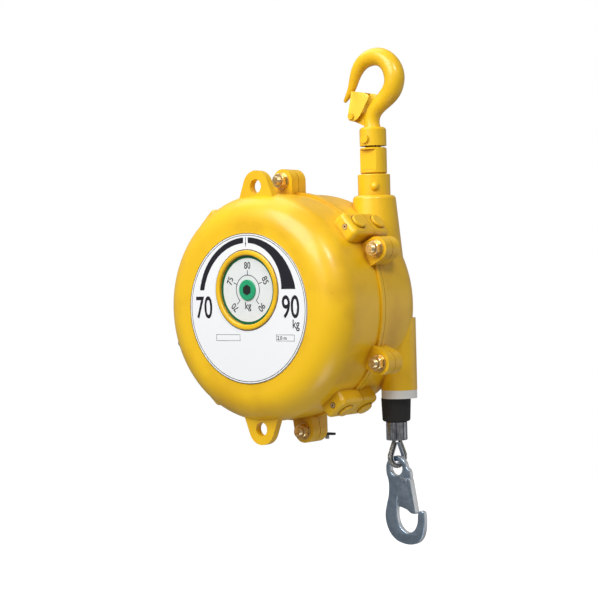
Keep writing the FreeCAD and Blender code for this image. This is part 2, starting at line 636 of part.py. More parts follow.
def make_worm():
    """Adjusting worm along X with its key end on the hidden side."""
    lead = math.pi * WORM_MODULE
    low = -worm_distance()
    tip_r = WORM_PITCH_R + WORM_MODULE
    root_r = WORM_PITCH_R - 1.25 * WORM_MODULE
    length = lead * WORM_TURNS
    helix = Part.makeHelix(lead, length, root_r)
    embed = 0.4
    half_root = lead / 4 + 0.9 * math.tan(math.radians(20)) * WORM_MODULE - BACKLASH * 2 + 0.15
    half_tip = lead / 4 - math.tan(math.radians(20)) * WORM_MODULE - BACKLASH * 2
    section = polygon([V(root_r - embed, 0, -half_root), V(tip_r, 0, -half_tip),
                       V(tip_r, 0, half_tip), V(root_r - embed, 0, half_root)])
    thread = Part.Wire(helix).makePipeShell([section], True, True)
    core = rod_z(root_r, -lead / 2 - 1, length + lead / 2 + 1)
    worm = fused([core, thread])
    shift = -length / 2
    worm.translate(V(0, 0, shift))
    worm.rotate(V(0, 0, 0), Y_AXIS, 90)
    worm.translate(V(0, worm_y(), low))
    end = WORM_BLOCK_X + WORM_BLOCK_T + 3
    shaft = rod(WORM_SHAFT_R, V(-WORM_REACH, worm_y(), low), X_AXIS, WORM_REACH + end)
    worm = fused([worm, shaft])
    corner = WORM_HEX_AF / math.sqrt(3)
    points = [V(-WORM_REACH - 1, worm_y() + corner * math.sin(math.radians(a)),
                low + corner * math.cos(math.radians(a))) for a in range(0, 360, 60)]
    socket = Part.Face(polygon(points)).extrude(V(WORM_HEX_DEPTH + 1, 0, 0))
    save("worm", single(worm.cut(socket)))


def make_worm_wheel():
    """Wheel keyed to the arbor's neck."""
    lead_angle = math.atan(WORM_MODULE / 2 / WORM_PITCH_R)
    width = WHEEL_Y[1] - WHEEL_Y[0]
    pitch_r = WORM_MODULE * WHEEL_TEETH / 2
    twist = width * math.tan(lead_angle) / pitch_r
    wheel = spur_gear(WORM_MODULE, WHEEL_TEETH, *WHEEL_Y, 0.0, BACKLASH * 2, twist)
    wheel = wheel.cut(rod_y(NECK_R + SLIP, WHEEL_Y[0] - 1, WHEEL_Y[1] + 1))
    save("worm_wheel", wheel)


# --- shaft, arbor, spring -----------------------------------------------------------------------
def make_main_shaft():
    """Fixed shaft, held in the back wall."""
    shaft = rod_y(SHAFT_R, SHAFT_Y0, REAR_DEPTH + SHAFT_TAIL)
    nut = hexagon_y(SHAFT_NUT_AF, REAR_DEPTH, REAR_DEPTH + SHAFT_NUT_T)
    nut = nut.cut(rod_y(SHAFT_R, REAR_DEPTH - 1, REAR_DEPTH + SHAFT_NUT_T + 1))
    save("main_shaft", shaft)
    save("shaft_nut", nut)


def make_arbor():
    """Hollow spring arbor with its neck and the dial pinion."""
    barrel = rod_y(ARBOR_R, *ARBOR_Y)
    neck = rod_y(NECK_R, PLATE_Y[0] - 1, ARBOR_Y[0] + 1)
    pinion = spur_gear(MODULE, PINION_TEETH, DIAL_GEAR_Y[0], PLATE_Y[0], 0.0)
    arbor = fused([barrel, neck, pinion])
    arbor = arbor.cut(rod_y(SHAFT_R + RUN, SHAFT_Y0 - 1, ARBOR_Y[1] + 1))
    save("spring_arbor", single(arbor))


def make_mainspring():
    """Flat spiral strip between the arbor and the spring case."""
    inner = ARBOR_R + SPRING_T / 2 + 0.4
    outer = SPRING_CASE_R - SPRING_CASE_WALL - SPRING_T / 2 - 1.0
    steps = 24 * SPRING_TURNS
    sides = []
    for offset in (-SPRING_T / 2, SPRING_T / 2):
        points = []
        for i in range(steps + 1):
            angle = 2 * math.pi * SPRING_TURNS * i / steps
            radius = inner + (outer - inner) * (i / steps) + offset
            points.append(V(radius * math.sin(angle), 0, radius * math.cos(angle)))
        spline = Part.BSplineCurve()
        spline.interpolate(points)
        sides.append(spline)
    a, b = sides
    ends = [Part.makeLine(a.EndPoint, b.EndPoint), Part.makeLine(b.StartPoint, a.StartPoint)]
    wire = Part.Wire([a.toShape(), ends[0], b.toShape(), ends[1]])
    save("mainspring", plate_y(wire, *SPRING_Y))


# --- drum ---------------------------------------------------------------------------------------
def drum_screw_places():
    """Place (x, z) of the screws that join the drum and the spring case."""
    return [on_circle(DRUM_SCREW_CIRCLE_R, 360.0 * i / DRUM_SCREWS) for i in range(DRUM_SCREWS)]


def make_drum():
    """Grooved rope drum with hub, web and the notched lock flange."""
    y0, y1 = DRUM_Y
    land_r = ROPE_LINE_X - LAND_DROP
    root_r = ROPE_LINE_X - ROPE_R - LEAD_GAP
    flange0, flange1 = LOCK_FLANGE_Y
    profile = [(root_r - DRUM_RIM_T, y0), (land_r, y0), (land_r, flange0),
               (LOCK_FLANGE_R, flange0), (LOCK_FLANGE_R, flange1), (land_r, flange1)]
    for i in GROOVES:
        centre = ROPE_LINE_Y + i * GROOVE_PITCH
        profile.append((land_r, centre - ROPE_R))
        profile.append((root_r, centre, land_r, centre + ROPE_R))
    profile += [(land_r, y1 - 4), (land_r + DRUM_FLANGE_H, y1 - 3), (land_r + DRUM_FLANGE_H, y1),
                (root_r - DRUM_RIM_T, y1)]
    rim = turned_y(profile)
    web = ring_y(root_r - 1, HUB_OUT_R - 1, y0, y0 + DRUM_WEB_T)
    hub = rod_y(HUB_OUT_R, y0, y1)
    bores = [rod_y(BEARING_R, y0 - 1, y0 + BEARING_W), rod_y(BEARING_R, y1 - BEARING_W, y1 + 1),
             rod_y(BEARING_R - 4, y0, y1)]
    bores += [rod_y(DRUM_SCREW_R, y0 - 1, y0 + DRUM_WEB_T + 1, x, z) for x, z in drum_screw_places()]
    for i in range(LOCK_NOTCHES):
        notch = Part.makeBox(2 * PLUNGER_R + 3, flange1 - flange0 + 2, LOCK_NOTCH_D + 5,
                             V(-PLUNGER_R - 1.5, flange0 - 1, LOCK_FLANGE_R - LOCK_NOTCH_D))
        bores.append(around_y(notch, 360.0 * i / LOCK_NOTCHES))
    save("rope_drum", single(fused([rim, web, hub]).cut(bores)))
    bearings = [ring_y(BEARING_R - SLIP, SHAFT_R + RUN, a, a + BEARING_W) for a in (y0, y1 - BEARING_W)]
    save("drum_bearings", *bearings)


def make_spring_case():
    """Cup for the mainspring, its lid, and the screws to the drum."""
    y0, y1 = SPRING_CASE_Y0, DRUM_Y[0]
    cup = rod_y(SPRING_CASE_R, y0, y1)
    cup = cup.cut(rod_y(SPRING_CASE_R - SPRING_CASE_WALL, y0 - 1, y1 - SPRING_CASE_WALL))
    bores = [rod_y(DRUM_SCREW_R, y0, y1 + 1, x, z) for x, z in drum_screw_places()]
    bores.append(rod_y(BEARING_R - 4, y0 - 1, y1 + 1))
    save("spring_case", single(cup.cut(bores)))
    lid = ring_y(SPRING_CASE_R, ARBOR_R + 2, y0 - SPRING_LID_T, y0)
    save("spring_lid", lid)
    screws = []
    for x, z in drum_screw_places():
        top = y1 + DRUM_WEB_T
        head = rod_y(DRUM_SCREW_HEAD_R, top, top + DRUM_SCREW_HEAD_T, x, z)
        screws.append(fused([head, rod_y(DRUM_SCREW_R - SLIP, y1 - SPRING_CASE_WALL + 1, top + 1, x, z)]))
    save("drum_screws", *screws)


def make_wound_rope():
    """Turns of rope lying in the grooves, as closed rings; the leaving groove holds none."""
    coils = [Part.makeTorus(ROPE_LINE_X, ROPE_R - LEAD_GAP, V(0, ROPE_LINE_Y + i * GROOVE_PITCH, 0), Y_AXIS)
             for i in GROOVES if i]
    save("wound_rope", *coils)


# --- drum lock ----------------------------------------------------------------------------------
def make_drum_lock():
    """Lever under the case that lifts a plunger into the drum's notched flange."""
    top = -LOCK_FLANGE_R - 2.5
    plunger = rod_z(PLUNGER_R, LOCK_BOSS_Z + LEVER_T, top, LOCK_X, LOCK_Y)
    save("lock_plunger", plunger)
    z1 = LOCK_BOSS_Z - SOFT
    z0 = z1 - LEVER_T
    arm = Part.makeBox(LEVER_REACH, LEVER_W, LEVER_T, V(LOCK_X, LOCK_Y - LEVER_W / 2, z0))
    end = rod_z(LEVER_W / 2, z0, z1, LOCK_X + LEVER_REACH, LOCK_Y)
    hub = rod_z(LEVER_R, z0, z1, LOCK_X, LOCK_Y)
    save("lock_lever", single(fused([arm, end, hub])))
    save("lock_lever_screw", rod_z(KNOB_R, z0 - 2.0, z0, LOCK_X, LOCK_Y))
    save("lock_lever_knob", rod_z(KNOB_R, z0 - KNOB_L, z0, LOCK_X + KNOB_X, LOCK_Y))
    x, y = STOP_PIN_AT
    stop = rod_z(KNOB_R - SLIP, LOCK_BOSS_Z - KNOB_L, LOCK_BOSS_Z + KNOB_L, LOCK_X + x, LOCK_Y + y)
    save("lock_stop_pin", stop)


# --- swivel and suspension hook ------------------------------------------------------------------
def make_collar():
    """Collar screwed on the tower and the dome-headed pin that locks it."""
    z0, z1 = COLLAR_Z
    collar = rod_z(COLLAR_R, z0, z1, HOOK_X, HOOK_Y)
    crest = [edge for edge in collar.Edges if abs(edge.CenterOfMass.z - z1) < 1e-6]
    collar = collar.makeFillet(1.5, crest).cut(rod_z(SWIVEL_STEM_R + RUN, z0 - 1, z1 + 1, HOOK_X, HOOK_Y))
    depth = COLLAR_R - SWIVEL_STEM_R - 3
    direction = V(math.sin(math.radians(38)), -math.cos(math.radians(38)), 0)
    start = V(HOOK_X, HOOK_Y, COLLAR_PIN_Z) + direction * (COLLAR_R - depth)
    collar = collar.cut(rod(3.0 + SLIP, start, direction, depth + 2))
    save("tower_collar", single(collar))
    head = Part.makeSphere(DOME_R, V(HOOK_X, HOOK_Y, COLLAR_PIN_Z) + direction * (COLLAR_R - 1.2))
    inside = rod_z(COLLAR_R + 0.1, z0, z1, HOOK_X, HOOK_Y)
    shank = rod(3.0, start, direction, depth + 1)
    save("collar_pin", single(fused([head.cut(inside), shank])))


def make_swivel_block():
    """Turning block with two milled flats, its stem, its nut and the tongue of the knuckle."""
    z0, z1 = SWIVEL_Z
    block = rod_z(SWIVEL_R, z0, z1, HOOK_X, HOOK_Y)
    rims = [edge for edge in block.Edges if len(edge.Vertexes) == 1]
    block = block.makeChamfer(1.5, rims)
    for side in (-1, 1):
        low, high = SWIVEL_FLAT_Z
        corner = V(HOOK_X - SWIVEL_R, HOOK_Y + (SWIVEL_FLAT if side > 0 else -SWIVEL_FLAT - 20), low)
        block = block.cut(Part.makeBox(2 * SWIVEL_R, 20, high - low, corner))
    stem = rod_z(SWIVEL_STEM_R, SWIVEL_STEM_Z, z0 + 1, HOOK_X, HOOK_Y)
    tongue = Part.makeBox(2 * TONGUE_R, 2 * TONGUE_HALF, KNUCKLE_PIN_Z - z1 + 1,
                          V(HOOK_X - TONGUE_R, HOOK_Y - TONGUE_HALF, z1 - 1))
    round_top = rod_y(TONGUE_R, HOOK_Y - TONGUE_HALF, HOOK_Y + TONGUE_HALF, HOOK_X, KNUCKLE_PIN_Z)
    block = fused([block, stem, tongue, round_top])
    hole = rod_y(KNUCKLE_PIN_R + RUN, HOOK_Y - 30, HOOK_Y + 30, HOOK_X, KNUCKLE_PIN_Z)
    save("swivel_block", single(block.cut(hole)))
    nut = ring_z(SWIVEL_NUT_R, SWIVEL_STEM_R + SLIP, SWIVEL_STEM_Z, SWIVEL_STEM_Z + SWIVEL_NUT_H,
                 HOOK_X, HOOK_Y)
    save("swivel_nut", nut)


def make_hook_block():
    """Forked block that pins the hook to the swivel."""
    z0, z1 = BLOCK_Z
    block = rod_z(SWIVEL_R, z0, z1, HOOK_X, HOOK_Y)
    top = [edge for edge in block.Edges if len(edge.Vertexes) == 1 and edge.CenterOfMass.z > z1 - 1]
    block = block.makeChamfer(BLOCK_CHAMFER, top)
    slot = Part.makeBox(4 * SWIVEL_R, 2 * TONGUE_HALF + 2 * SOFT, KNUCKLE_PIN_Z + TONGUE_R + 1 - z0 + 1,
                        V(HOOK_X - 2 * SWIVEL_R, HOOK_Y - TONGUE_HALF - SOFT, z0 - 1))
    slot = slot.common(rod_z(TONGUE_R + 3.2, z0 - 2, z1, HOOK_X, HOOK_Y))
    hole = rod_y(KNUCKLE_PIN_R + SLIP, HOOK_Y - 30, HOOK_Y + 30, HOOK_X, KNUCKLE_PIN_Z)
    return block.cut([slot, hole])


def make_knuckle_pin():
    """Round-headed cross pin through the knuckle."""
    face = SWIVEL_R
    shank = rod_y(KNUCKLE_PIN_R, HOOK_Y - face, HOOK_Y + face, HOOK_X, KNUCKLE_PIN_Z)
    heads = []
    for y0 in (HOOK_Y - face - KNUCKLE_HEAD_T, HOOK_Y + face - 1):
        length = KNUCKLE_HEAD_T + 1
        heads.append(rod_y(KNUCKLE_HEAD_R, y0, y0 + length, HOOK_X, KNUCKLE_PIN_Z))
    pin = fused([shank] + heads)
    around = rod_z(SWIVEL_R, BLOCK_Z[0] - 1, BLOCK_Z[1] + 1, HOOK_X, HOOK_Y)
    core = rod_y(KNUCKLE_PIN_R, HOOK_Y - face, HOOK_Y + face, HOOK_X, KNUCKLE_PIN_Z)
    pin = fused([pin.cut(around), core])
    save("knuckle_pin", single(pin))


def hook_sections():
    """Round sections across the hook's centre line."""
    places = [V(HOOK_X + x, HOOK_Y, z) for x, z, _ in HOOK_LINE]
    wires = []
    for i, (_, _, diameter) in enumerate(HOOK_LINE):
        before = places[max(i - 1, 0)]
        after = places[min(i + 1, len(places) - 1)]
        direction = (after - before).normalize()
        if i == 0:
            direction = Z_AXIS
        wires.append(Part.Wire(Part.makeCircle(diameter / 2, places[i], direction)))
    return wires


def make_suspension_hook():
    """Forged hook with the ear for its latch."""
    bow = Part.makeLoft(hook_sections(), True, False)
    tip = HOOK_LINE[-1]
    ball = Part.makeSphere(tip[2] / 2, V(HOOK_X + tip[0], HOOK_Y, tip[1]))
    ear = rod_y(LATCH_EAR_R, HOOK_Y - LATCH_EAR_HALF, HOOK_Y + LATCH_EAR_HALF,
                HOOK_X + LATCH_X, LATCH_Z)
    bridge = polygon([V(HOOK_X + LATCH_X, 0, LATCH_Z - LATCH_EAR_R),
                      V(HOOK_X + LATCH_X, 0, LATCH_Z + LATCH_EAR_R - 1),
                      V(HOOK_X, 0, LATCH_Z + LATCH_EAR_R - 4), V(HOOK_X, 0, BLOCK_Z[1] - 2)])
    bridge = plate_y(bridge, HOOK_Y - LATCH_EAR_HALF + 3, HOOK_Y + LATCH_EAR_HALF - 3)
    hook = fused([make_hook_block(), bow, ball, ear, bridge])
    hole = rod_y(LATCH_PIN_R + RUN, HOOK_Y - 40, HOOK_Y + 40, HOOK_X + LATCH_X, LATCH_Z)
    save("suspension_hook", single(hook.cut(hole)))


def make_latch():
    """Folded sheet latch, its pin and its spring."""
    outer, inner = LATCH_HALF, LATCH_HALF - LATCH_T
    pivot = (LATCH_X, LATCH_Z)
    corners = [V(HOOK_X + pivot[0] - 6, 0, pivot[1] - 4), V(HOOK_X + pivot[0] - 6, 0, pivot[1] + 5),
               V(HOOK_X + LATCH_TIP[0], 0, LATCH_TIP[1]), V(HOOK_X + LATCH_HEEL[0], 0, LATCH_HEEL[1]),
               V(HOOK_X + pivot[0] + 6, 0, pivot[1] - 2), V(HOOK_X + pivot[0], 0, pivot[1] - 6.5)]
    cheek = plate_y(polygon(corners), HOOK_Y - outer, HOOK_Y + outer)
    core = plate_y(polygon(corners), HOOK_Y - inner, HOOK_Y + inner)
    slope = math.degrees(math.atan2(LATCH_TIP[1] - LATCH_HEEL[1], LATCH_HEEL[0] - LATCH_TIP[0]))
    web = Part.makeBox(16, 2 * inner + 1, LATCH_T, V(0, HOOK_Y - inner - 0.5, -LATCH_T))
    web.rotate(V(0, 0, 0), Y_AXIS, slope)
    web.translate(V(HOOK_X + LATCH_TIP[0] + 0.6, 0, LATCH_TIP[1] - 0.3))
    hole = rod_y(LATCH_PIN_R + SLIP, HOOK_Y - 40, HOOK_Y + 40, HOOK_X + LATCH_X, LATCH_Z)
    latch = fused([cheek.cut(core), web]).cut(hole)
    save("hook_latch", single(latch))
    half = LATCH_HALF + 2.2
    shank = rod_y(LATCH_PIN_R, HOOK_Y - half, HOOK_Y + half, HOOK_X + LATCH_X, LATCH_Z)
    heads = [rod_y(LATCH_PIN_R + 1.6, y0, y0 + 2.0, HOOK_X + LATCH_X, LATCH_Z)
             for y0 in (HOOK_Y - half, HOOK_Y + half - 2.0)]
    save("latch_pin", single(fused([shank] + heads)))
    spring = ring_y(LATCH_PIN_R + 2.4, LATCH_PIN_R + 0.8, HOOK_Y + LATCH_EAR_HALF + 0.3,
                    HOOK_Y + inner - 0.3, HOOK_X + LATCH_X, LATCH_Z)
    save("latch_spring", spring)


# --- rope end and snap hook ----------------------------------------------------------------------
def make_outlet_guide():
    """Plastic ring that guides the rope out of the case."""
    ring = rod_z(GUIDE_R, GUIDE_BOTTOM_Z, OUTLET_Z, GUIDE_X, ROPE_LINE_Y)
    spigot = rod_z(GUIDE_SPIGOT_R, OUTLET_Z - 1, OUTLET_Z + GUIDE_SPIGOT_H, GUIDE_X, ROPE_LINE_Y)
    bore = rod_z(GUIDE_HOLE_R, GUIDE_BOTTOM_Z - 1, OUTLET_Z + GUIDE_SPIGOT_H + 1, GUIDE_X, ROPE_LINE_Y)
    beside = half_drum(CASE_R + SOFT, CORNER_R, 0.0, REAR_DEPTH + SOFT)
    ring = ring.cut(beside)
    save("outlet_guide", single(fused([ring, spigot]).cut(bore)))


def make_ropes():
    """Rope inside the case, and the stretch that grows as the rope is pulled out."""
    top = rod_z(ROPE_R - 0.2, GUIDE_BOTTOM_Z + 4.0, 0.0, ROPE_LINE_X, ROPE_LINE_Y)
    save("rope_lead", top)
    run = rod_z(ROPE_R, SLEEVE_TOP_Z + 0.5, GUIDE_BOTTOM_Z + 3.8, ROPE_LINE_X, ROPE_LINE_Y)
    save("rope_run", run)


def make_rope_fittings():
    """Rubber bumper, pressed sleeve, loop of rope and thimble."""
    bumper = Part.makeCone(BUMPER_FOOT_R, BUMPER_R, BUMPER_H, V(ROPE_LINE_X, ROPE_LINE_Y, SLEEVE_TOP_Z),
                           Z_AXIS)
    foot = [edge for edge in bumper.Edges if abs(edge.CenterOfMass.z - SLEEVE_TOP_Z) < 1e-6]
    bumper = bumper.makeFillet(3.5, foot)
    bore = rod_z(ROPE_R + SOFT, SLEEVE_TOP_Z - 1, BUMPER_TOP_Z + 1, ROPE_LINE_X, ROPE_LINE_Y)
    save("rope_bumper", single(bumper.cut(bore)))
    sleeve = rod_z(SLEEVE_R, SLEEVE_BOTTOM_Z, SLEEVE_TOP_Z, ROPE_LINE_X, ROPE_LINE_Y)
    rims = [edge for edge in sleeve.Edges if len(edge.Vertexes) == 1]
    save("rope_sleeve", sleeve.makeFillet(1.5, rims))


def loop_edges(grow, above=0.0):
    """Open teardrop path of the loop in the XZ plane, grown outwards by a distance."""
    radius = LOOP_R + grow
    drop = LOOP_DROP - LOOP_R + above
    neck = LOOP_NECK + grow
    side = tangent_point(radius, neck, drop)
    top = V(neck, 0, drop)
    left_side, left_top = V(-side.x, 0, side.z), V(-top.x, 0, top.z)
    return [Part.makeLine(top, side), Part.Arc(side, V(0, 0, -radius), left_side).toShape(),
            Part.makeLine(left_side, left_top)]


def place_loop(shape):
    """Moves a piece drawn about the loop's lower centre to its place on the rope."""
    shape.rotate(V(0, 0, 0), Z_AXIS, 90.0 - LOOP_YAW)
    shape.translate(V(ROPE_LINE_X, ROPE_LINE_Y, SNAP_PIVOT_Z + LOOP_R))
    return shape


def make_rope_loop():
    """Loop of rope below the sleeve and the thimble inside it."""
    path = Part.Wire(loop_edges(0.0, ROPE_R))
    start = path.OrderedVertexes[0].Point
    after = path.OrderedVertexes[1].Point
    section = Part.Wire(Part.makeCircle(ROPE_R, start, (after - start).normalize()))
    loop = path.makePipeShell([section], True, True)
    loop = loop.common(Part.makeBox(80, 80, LOOP_DROP + ROPE_R + 1, V(-40, -40, -LOOP_R - ROPE_R - 1)))
    save("rope_loop", place_loop(single(loop)))
    outer = loop_edges(-ROPE_R - SLIP)
    inner = loop_edges(-ROPE_R - THIMBLE_T)
    a = Part.Wire(outer).OrderedVertexes
    b = Part.Wire(inner).OrderedVertexes
    caps = [Part.makeLine(a[0].Point, b[0].Point), Part.makeLine(a[-1].Point, b[-1].Point)]
    band = Part.Wire(Part.__sortEdges__(outer + inner + caps))
    thimble = plate_y(band, -THIMBLE_W / 2, THIMBLE_W / 2)
    thimble = thimble.common(Part.makeBox(80, 80, LOOP_DROP - 2.5, V(-40, -40, -LOOP_R - 1)))
    save("thimble", place_loop(single(thimble)))


def snap_point(place):
    """Point from the snap eye's centre."""
    return V(ROPE_LINE_X + place[0], 0, EYE_Z + place[1])


def snap_curve(points, lead_in=None):
    """Smooth edge through outline points, leaving the first one along a direction."""
    places = [snap_point(p) for p in points]
    spline = Part.BSplineCurve()
    if lead_in is None:
        spline.interpolate(places)
    else:
        lead_out = (places[-1] - places[-2]).normalize()
        spline.interpolate(Points=places, InitialTangent=lead_in, FinalTangent=lead_out)
    return spline.toShape()


def make_snap_hook():
    """Flat forged snap hook with a round eye and a slot for its gate."""
    outside, inside, shoulder = SNAP_OUTSIDE, SNAP_INSIDE, SNAP_SHOULDER
    eye_r = math.hypot(*outside[0])
    crown = (0.0, eye_r)
    first, last = outside[0], shoulder[-1]
    arc = Part.Arc(snap_point(last), snap_point(crown), snap_point(first)).toShape()
    lead_in = V(-first[1], 0, first[0]).normalize()
    wire = Part.Wire([arc, snap_curve(outside, lead_in),
                      Part.makeLine(snap_point(outside[-1]), snap_point(inside[0])),
                      snap_curve(inside), Part.makeLine(snap_point(inside[-1]), snap_point(shoulder[0])),
                      Part.makeLine(snap_point(shoulder[0]), snap_point(shoulder[1])),
                      Part.makeLine(snap_point(shoulder[1]), snap_point(last))])
    y0, y1 = ROPE_LINE_Y - SNAP_T / 2, ROPE_LINE_Y + SNAP_T / 2
    plate = plate_y(wire, y0, y1)
    bowl = [edge for edge in plate.Edges if edge.BoundBox.YLength < 1e-6
            and edge.BoundBox.XMin > ROPE_LINE_X and edge.Length > 2 * SNAP_T + 60]
    plate = plate.makeChamfer(SNAP_EDGE, bowl)
    back = [edge for edge in plate.Edges if edge.BoundBox.YLength < 1e-6
            and edge.BoundBox.XMin < ROPE_LINE_X and abs(abs(edge.CenterOfMass.y - ROPE_LINE_Y)
                                                         - SNAP_T / 2) < 1e-6]
    plate = plate.makeFillet(SNAP_EDGE / 2, back)
    eye = rod_y(EYE_HOLE_R, y0 - 1, y1 + 1, ROPE_LINE_X, EYE_Z)
    flares = [Part.makeCone(EYE_HOLE_R + EYE_CHAMFER, EYE_HOLE_R, EYE_CHAMFER,
                            V(ROPE_LINE_X, y0, EYE_Z), Y_AXIS),
              Part.makeCone(EYE_HOLE_R + EYE_CHAMFER, EYE_HOLE_R, EYE_CHAMFER,
                            V(ROPE_LINE_X, y1, EYE_Z), -Y_AXIS)]
    slot_wire = polygon([snap_point((6.0, -30.0)), snap_point((6.0, -13.0)), snap_point((12.0, -9.5)),
                         snap_point((40.0, -9.5)), snap_point((40.0, -40.0)),
                         snap_point((14.0, -40.0))])
    slot = plate_y(slot_wire, ROPE_LINE_Y - GATE_SLOT_HALF, ROPE_LINE_Y + GATE_SLOT_HALF)
    pin = rod_y(GATE_PIN_R + SLIP, y0 - 1, y1 + 1, ROPE_LINE_X + GATE_X, EYE_Z + GATE_Z)
    save("snap_hook", single(plate.cut([eye, slot, pin] + flares)))


def make_gate():
    """Sprung gate of the snap hook and its pin."""
    half = GATE_T / 2
    gate = plate_y(polygon([snap_point(p) for p in GATE_OUTLINE]), ROPE_LINE_Y - half, ROPE_LINE_Y + half)
    x, z = ROPE_LINE_X + GATE_X, EYE_Z + GATE_Z
    gate = gate.cut(rod_y(GATE_PIN_R + RUN, ROPE_LINE_Y - 10, ROPE_LINE_Y + 10, x, z))
    save("snap_gate", single(gate))
    y0, y1 = ROPE_LINE_Y - SNAP_T / 2, ROPE_LINE_Y + SNAP_T / 2
    shank = rod_y(GATE_PIN_R, y0, y1, x, z)
    heads = [rod_y(SNAP_PIVOT_HEAD_R, y0 - SNAP_PIVOT_HEAD_T, y0, x, z),
             rod_y(SNAP_PIVOT_HEAD_R, y1, y1 + SNAP_PIVOT_HEAD_T, x, z)]
    save("gate_pin", single(fused([shank] + heads)))


def main():
    os.makedirs("parts", exist_ok=True)
    make_front_cover()
    make_rear_case()
    make_gasket()
    make_flange_fasteners()
    make_boss_trim()
    make_name_plate()
    make_dial()
    make_gear_plate()
    make_worm()
    make_worm_wheel()
    make_main_shaft()
    make_arbor()
    make_mainspring()
    make_drum()
    make_spring_case()
    make_wound_rope()
    make_drum_lock()
    make_collar()
    make_swivel_block()
    make_knuckle_pin()
    make_suspension_hook()
    make_latch()
    make_outlet_guide()
    make_ropes()
    make_rope_fittings()
    make_rope_loop()
    make_snap_hook()
    make_gate()


main()
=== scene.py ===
"""Looks of the hanging tool balancer: its finishes, artwork, rope, fasteners and studio."""
import logging
import math
from dataclasses import dataclass, field
from enum import Enum

import bpy
from mathutils import Matrix, Vector


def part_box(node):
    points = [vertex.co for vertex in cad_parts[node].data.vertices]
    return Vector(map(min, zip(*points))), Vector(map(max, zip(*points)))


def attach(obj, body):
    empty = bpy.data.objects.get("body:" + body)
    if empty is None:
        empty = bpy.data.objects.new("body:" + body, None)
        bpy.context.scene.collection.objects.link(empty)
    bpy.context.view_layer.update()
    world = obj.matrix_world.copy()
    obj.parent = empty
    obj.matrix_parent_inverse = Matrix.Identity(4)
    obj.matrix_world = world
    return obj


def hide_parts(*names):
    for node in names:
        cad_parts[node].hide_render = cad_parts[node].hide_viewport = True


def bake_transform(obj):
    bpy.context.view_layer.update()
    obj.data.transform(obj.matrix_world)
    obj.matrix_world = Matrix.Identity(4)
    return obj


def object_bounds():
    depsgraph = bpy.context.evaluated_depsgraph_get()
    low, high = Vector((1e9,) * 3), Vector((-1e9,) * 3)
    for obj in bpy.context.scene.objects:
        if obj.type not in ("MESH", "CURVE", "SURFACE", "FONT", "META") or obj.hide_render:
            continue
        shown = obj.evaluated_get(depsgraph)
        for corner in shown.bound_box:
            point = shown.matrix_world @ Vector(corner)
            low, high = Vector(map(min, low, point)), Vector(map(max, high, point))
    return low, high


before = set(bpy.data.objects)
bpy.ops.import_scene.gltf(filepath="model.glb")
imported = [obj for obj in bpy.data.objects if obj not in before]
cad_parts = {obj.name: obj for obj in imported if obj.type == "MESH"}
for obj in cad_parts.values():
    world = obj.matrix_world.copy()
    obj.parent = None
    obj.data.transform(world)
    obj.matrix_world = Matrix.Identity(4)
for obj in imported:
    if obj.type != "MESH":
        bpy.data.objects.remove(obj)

MM = 0.001
FILM = 0.12 * MM   # thickness of a printed film
CAD_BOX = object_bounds()
LOG = logging.getLogger("balancer")
Colour = tuple[float, float, float]


def srgb(red: int, green: int, blue: int) -> Colour:
    """Turns a written colour into a linear one.

    Args:
        red: its red from 0 to 255.
        green: its green.
        blue: its blue.

    Returns:
        The linear colour.
    """
    def linear(value: int) -> float:
        """Returns one channel without its display curve."""
        share = value / 255.0
        return share / 12.92 if share <= 0.04045 else ((share + 0.055) / 1.055) ** 2.4
    return (linear(red), linear(green), linear(blue))


class Slot(Enum):
    """Material slot names that the dressed pieces are handed over with; dress does not use them."""

    YELLOW_ENAMEL = "yellow_enamel"
    YELLOW_ZINC = "yellow_zinc"
    ZINC_BRIGHT = "zinc_bright"
    DIAL_GREEN = "dial_green"
    WIRE_ROPE = "wire_rope"
    BLACK_STEEL = "black_steel"


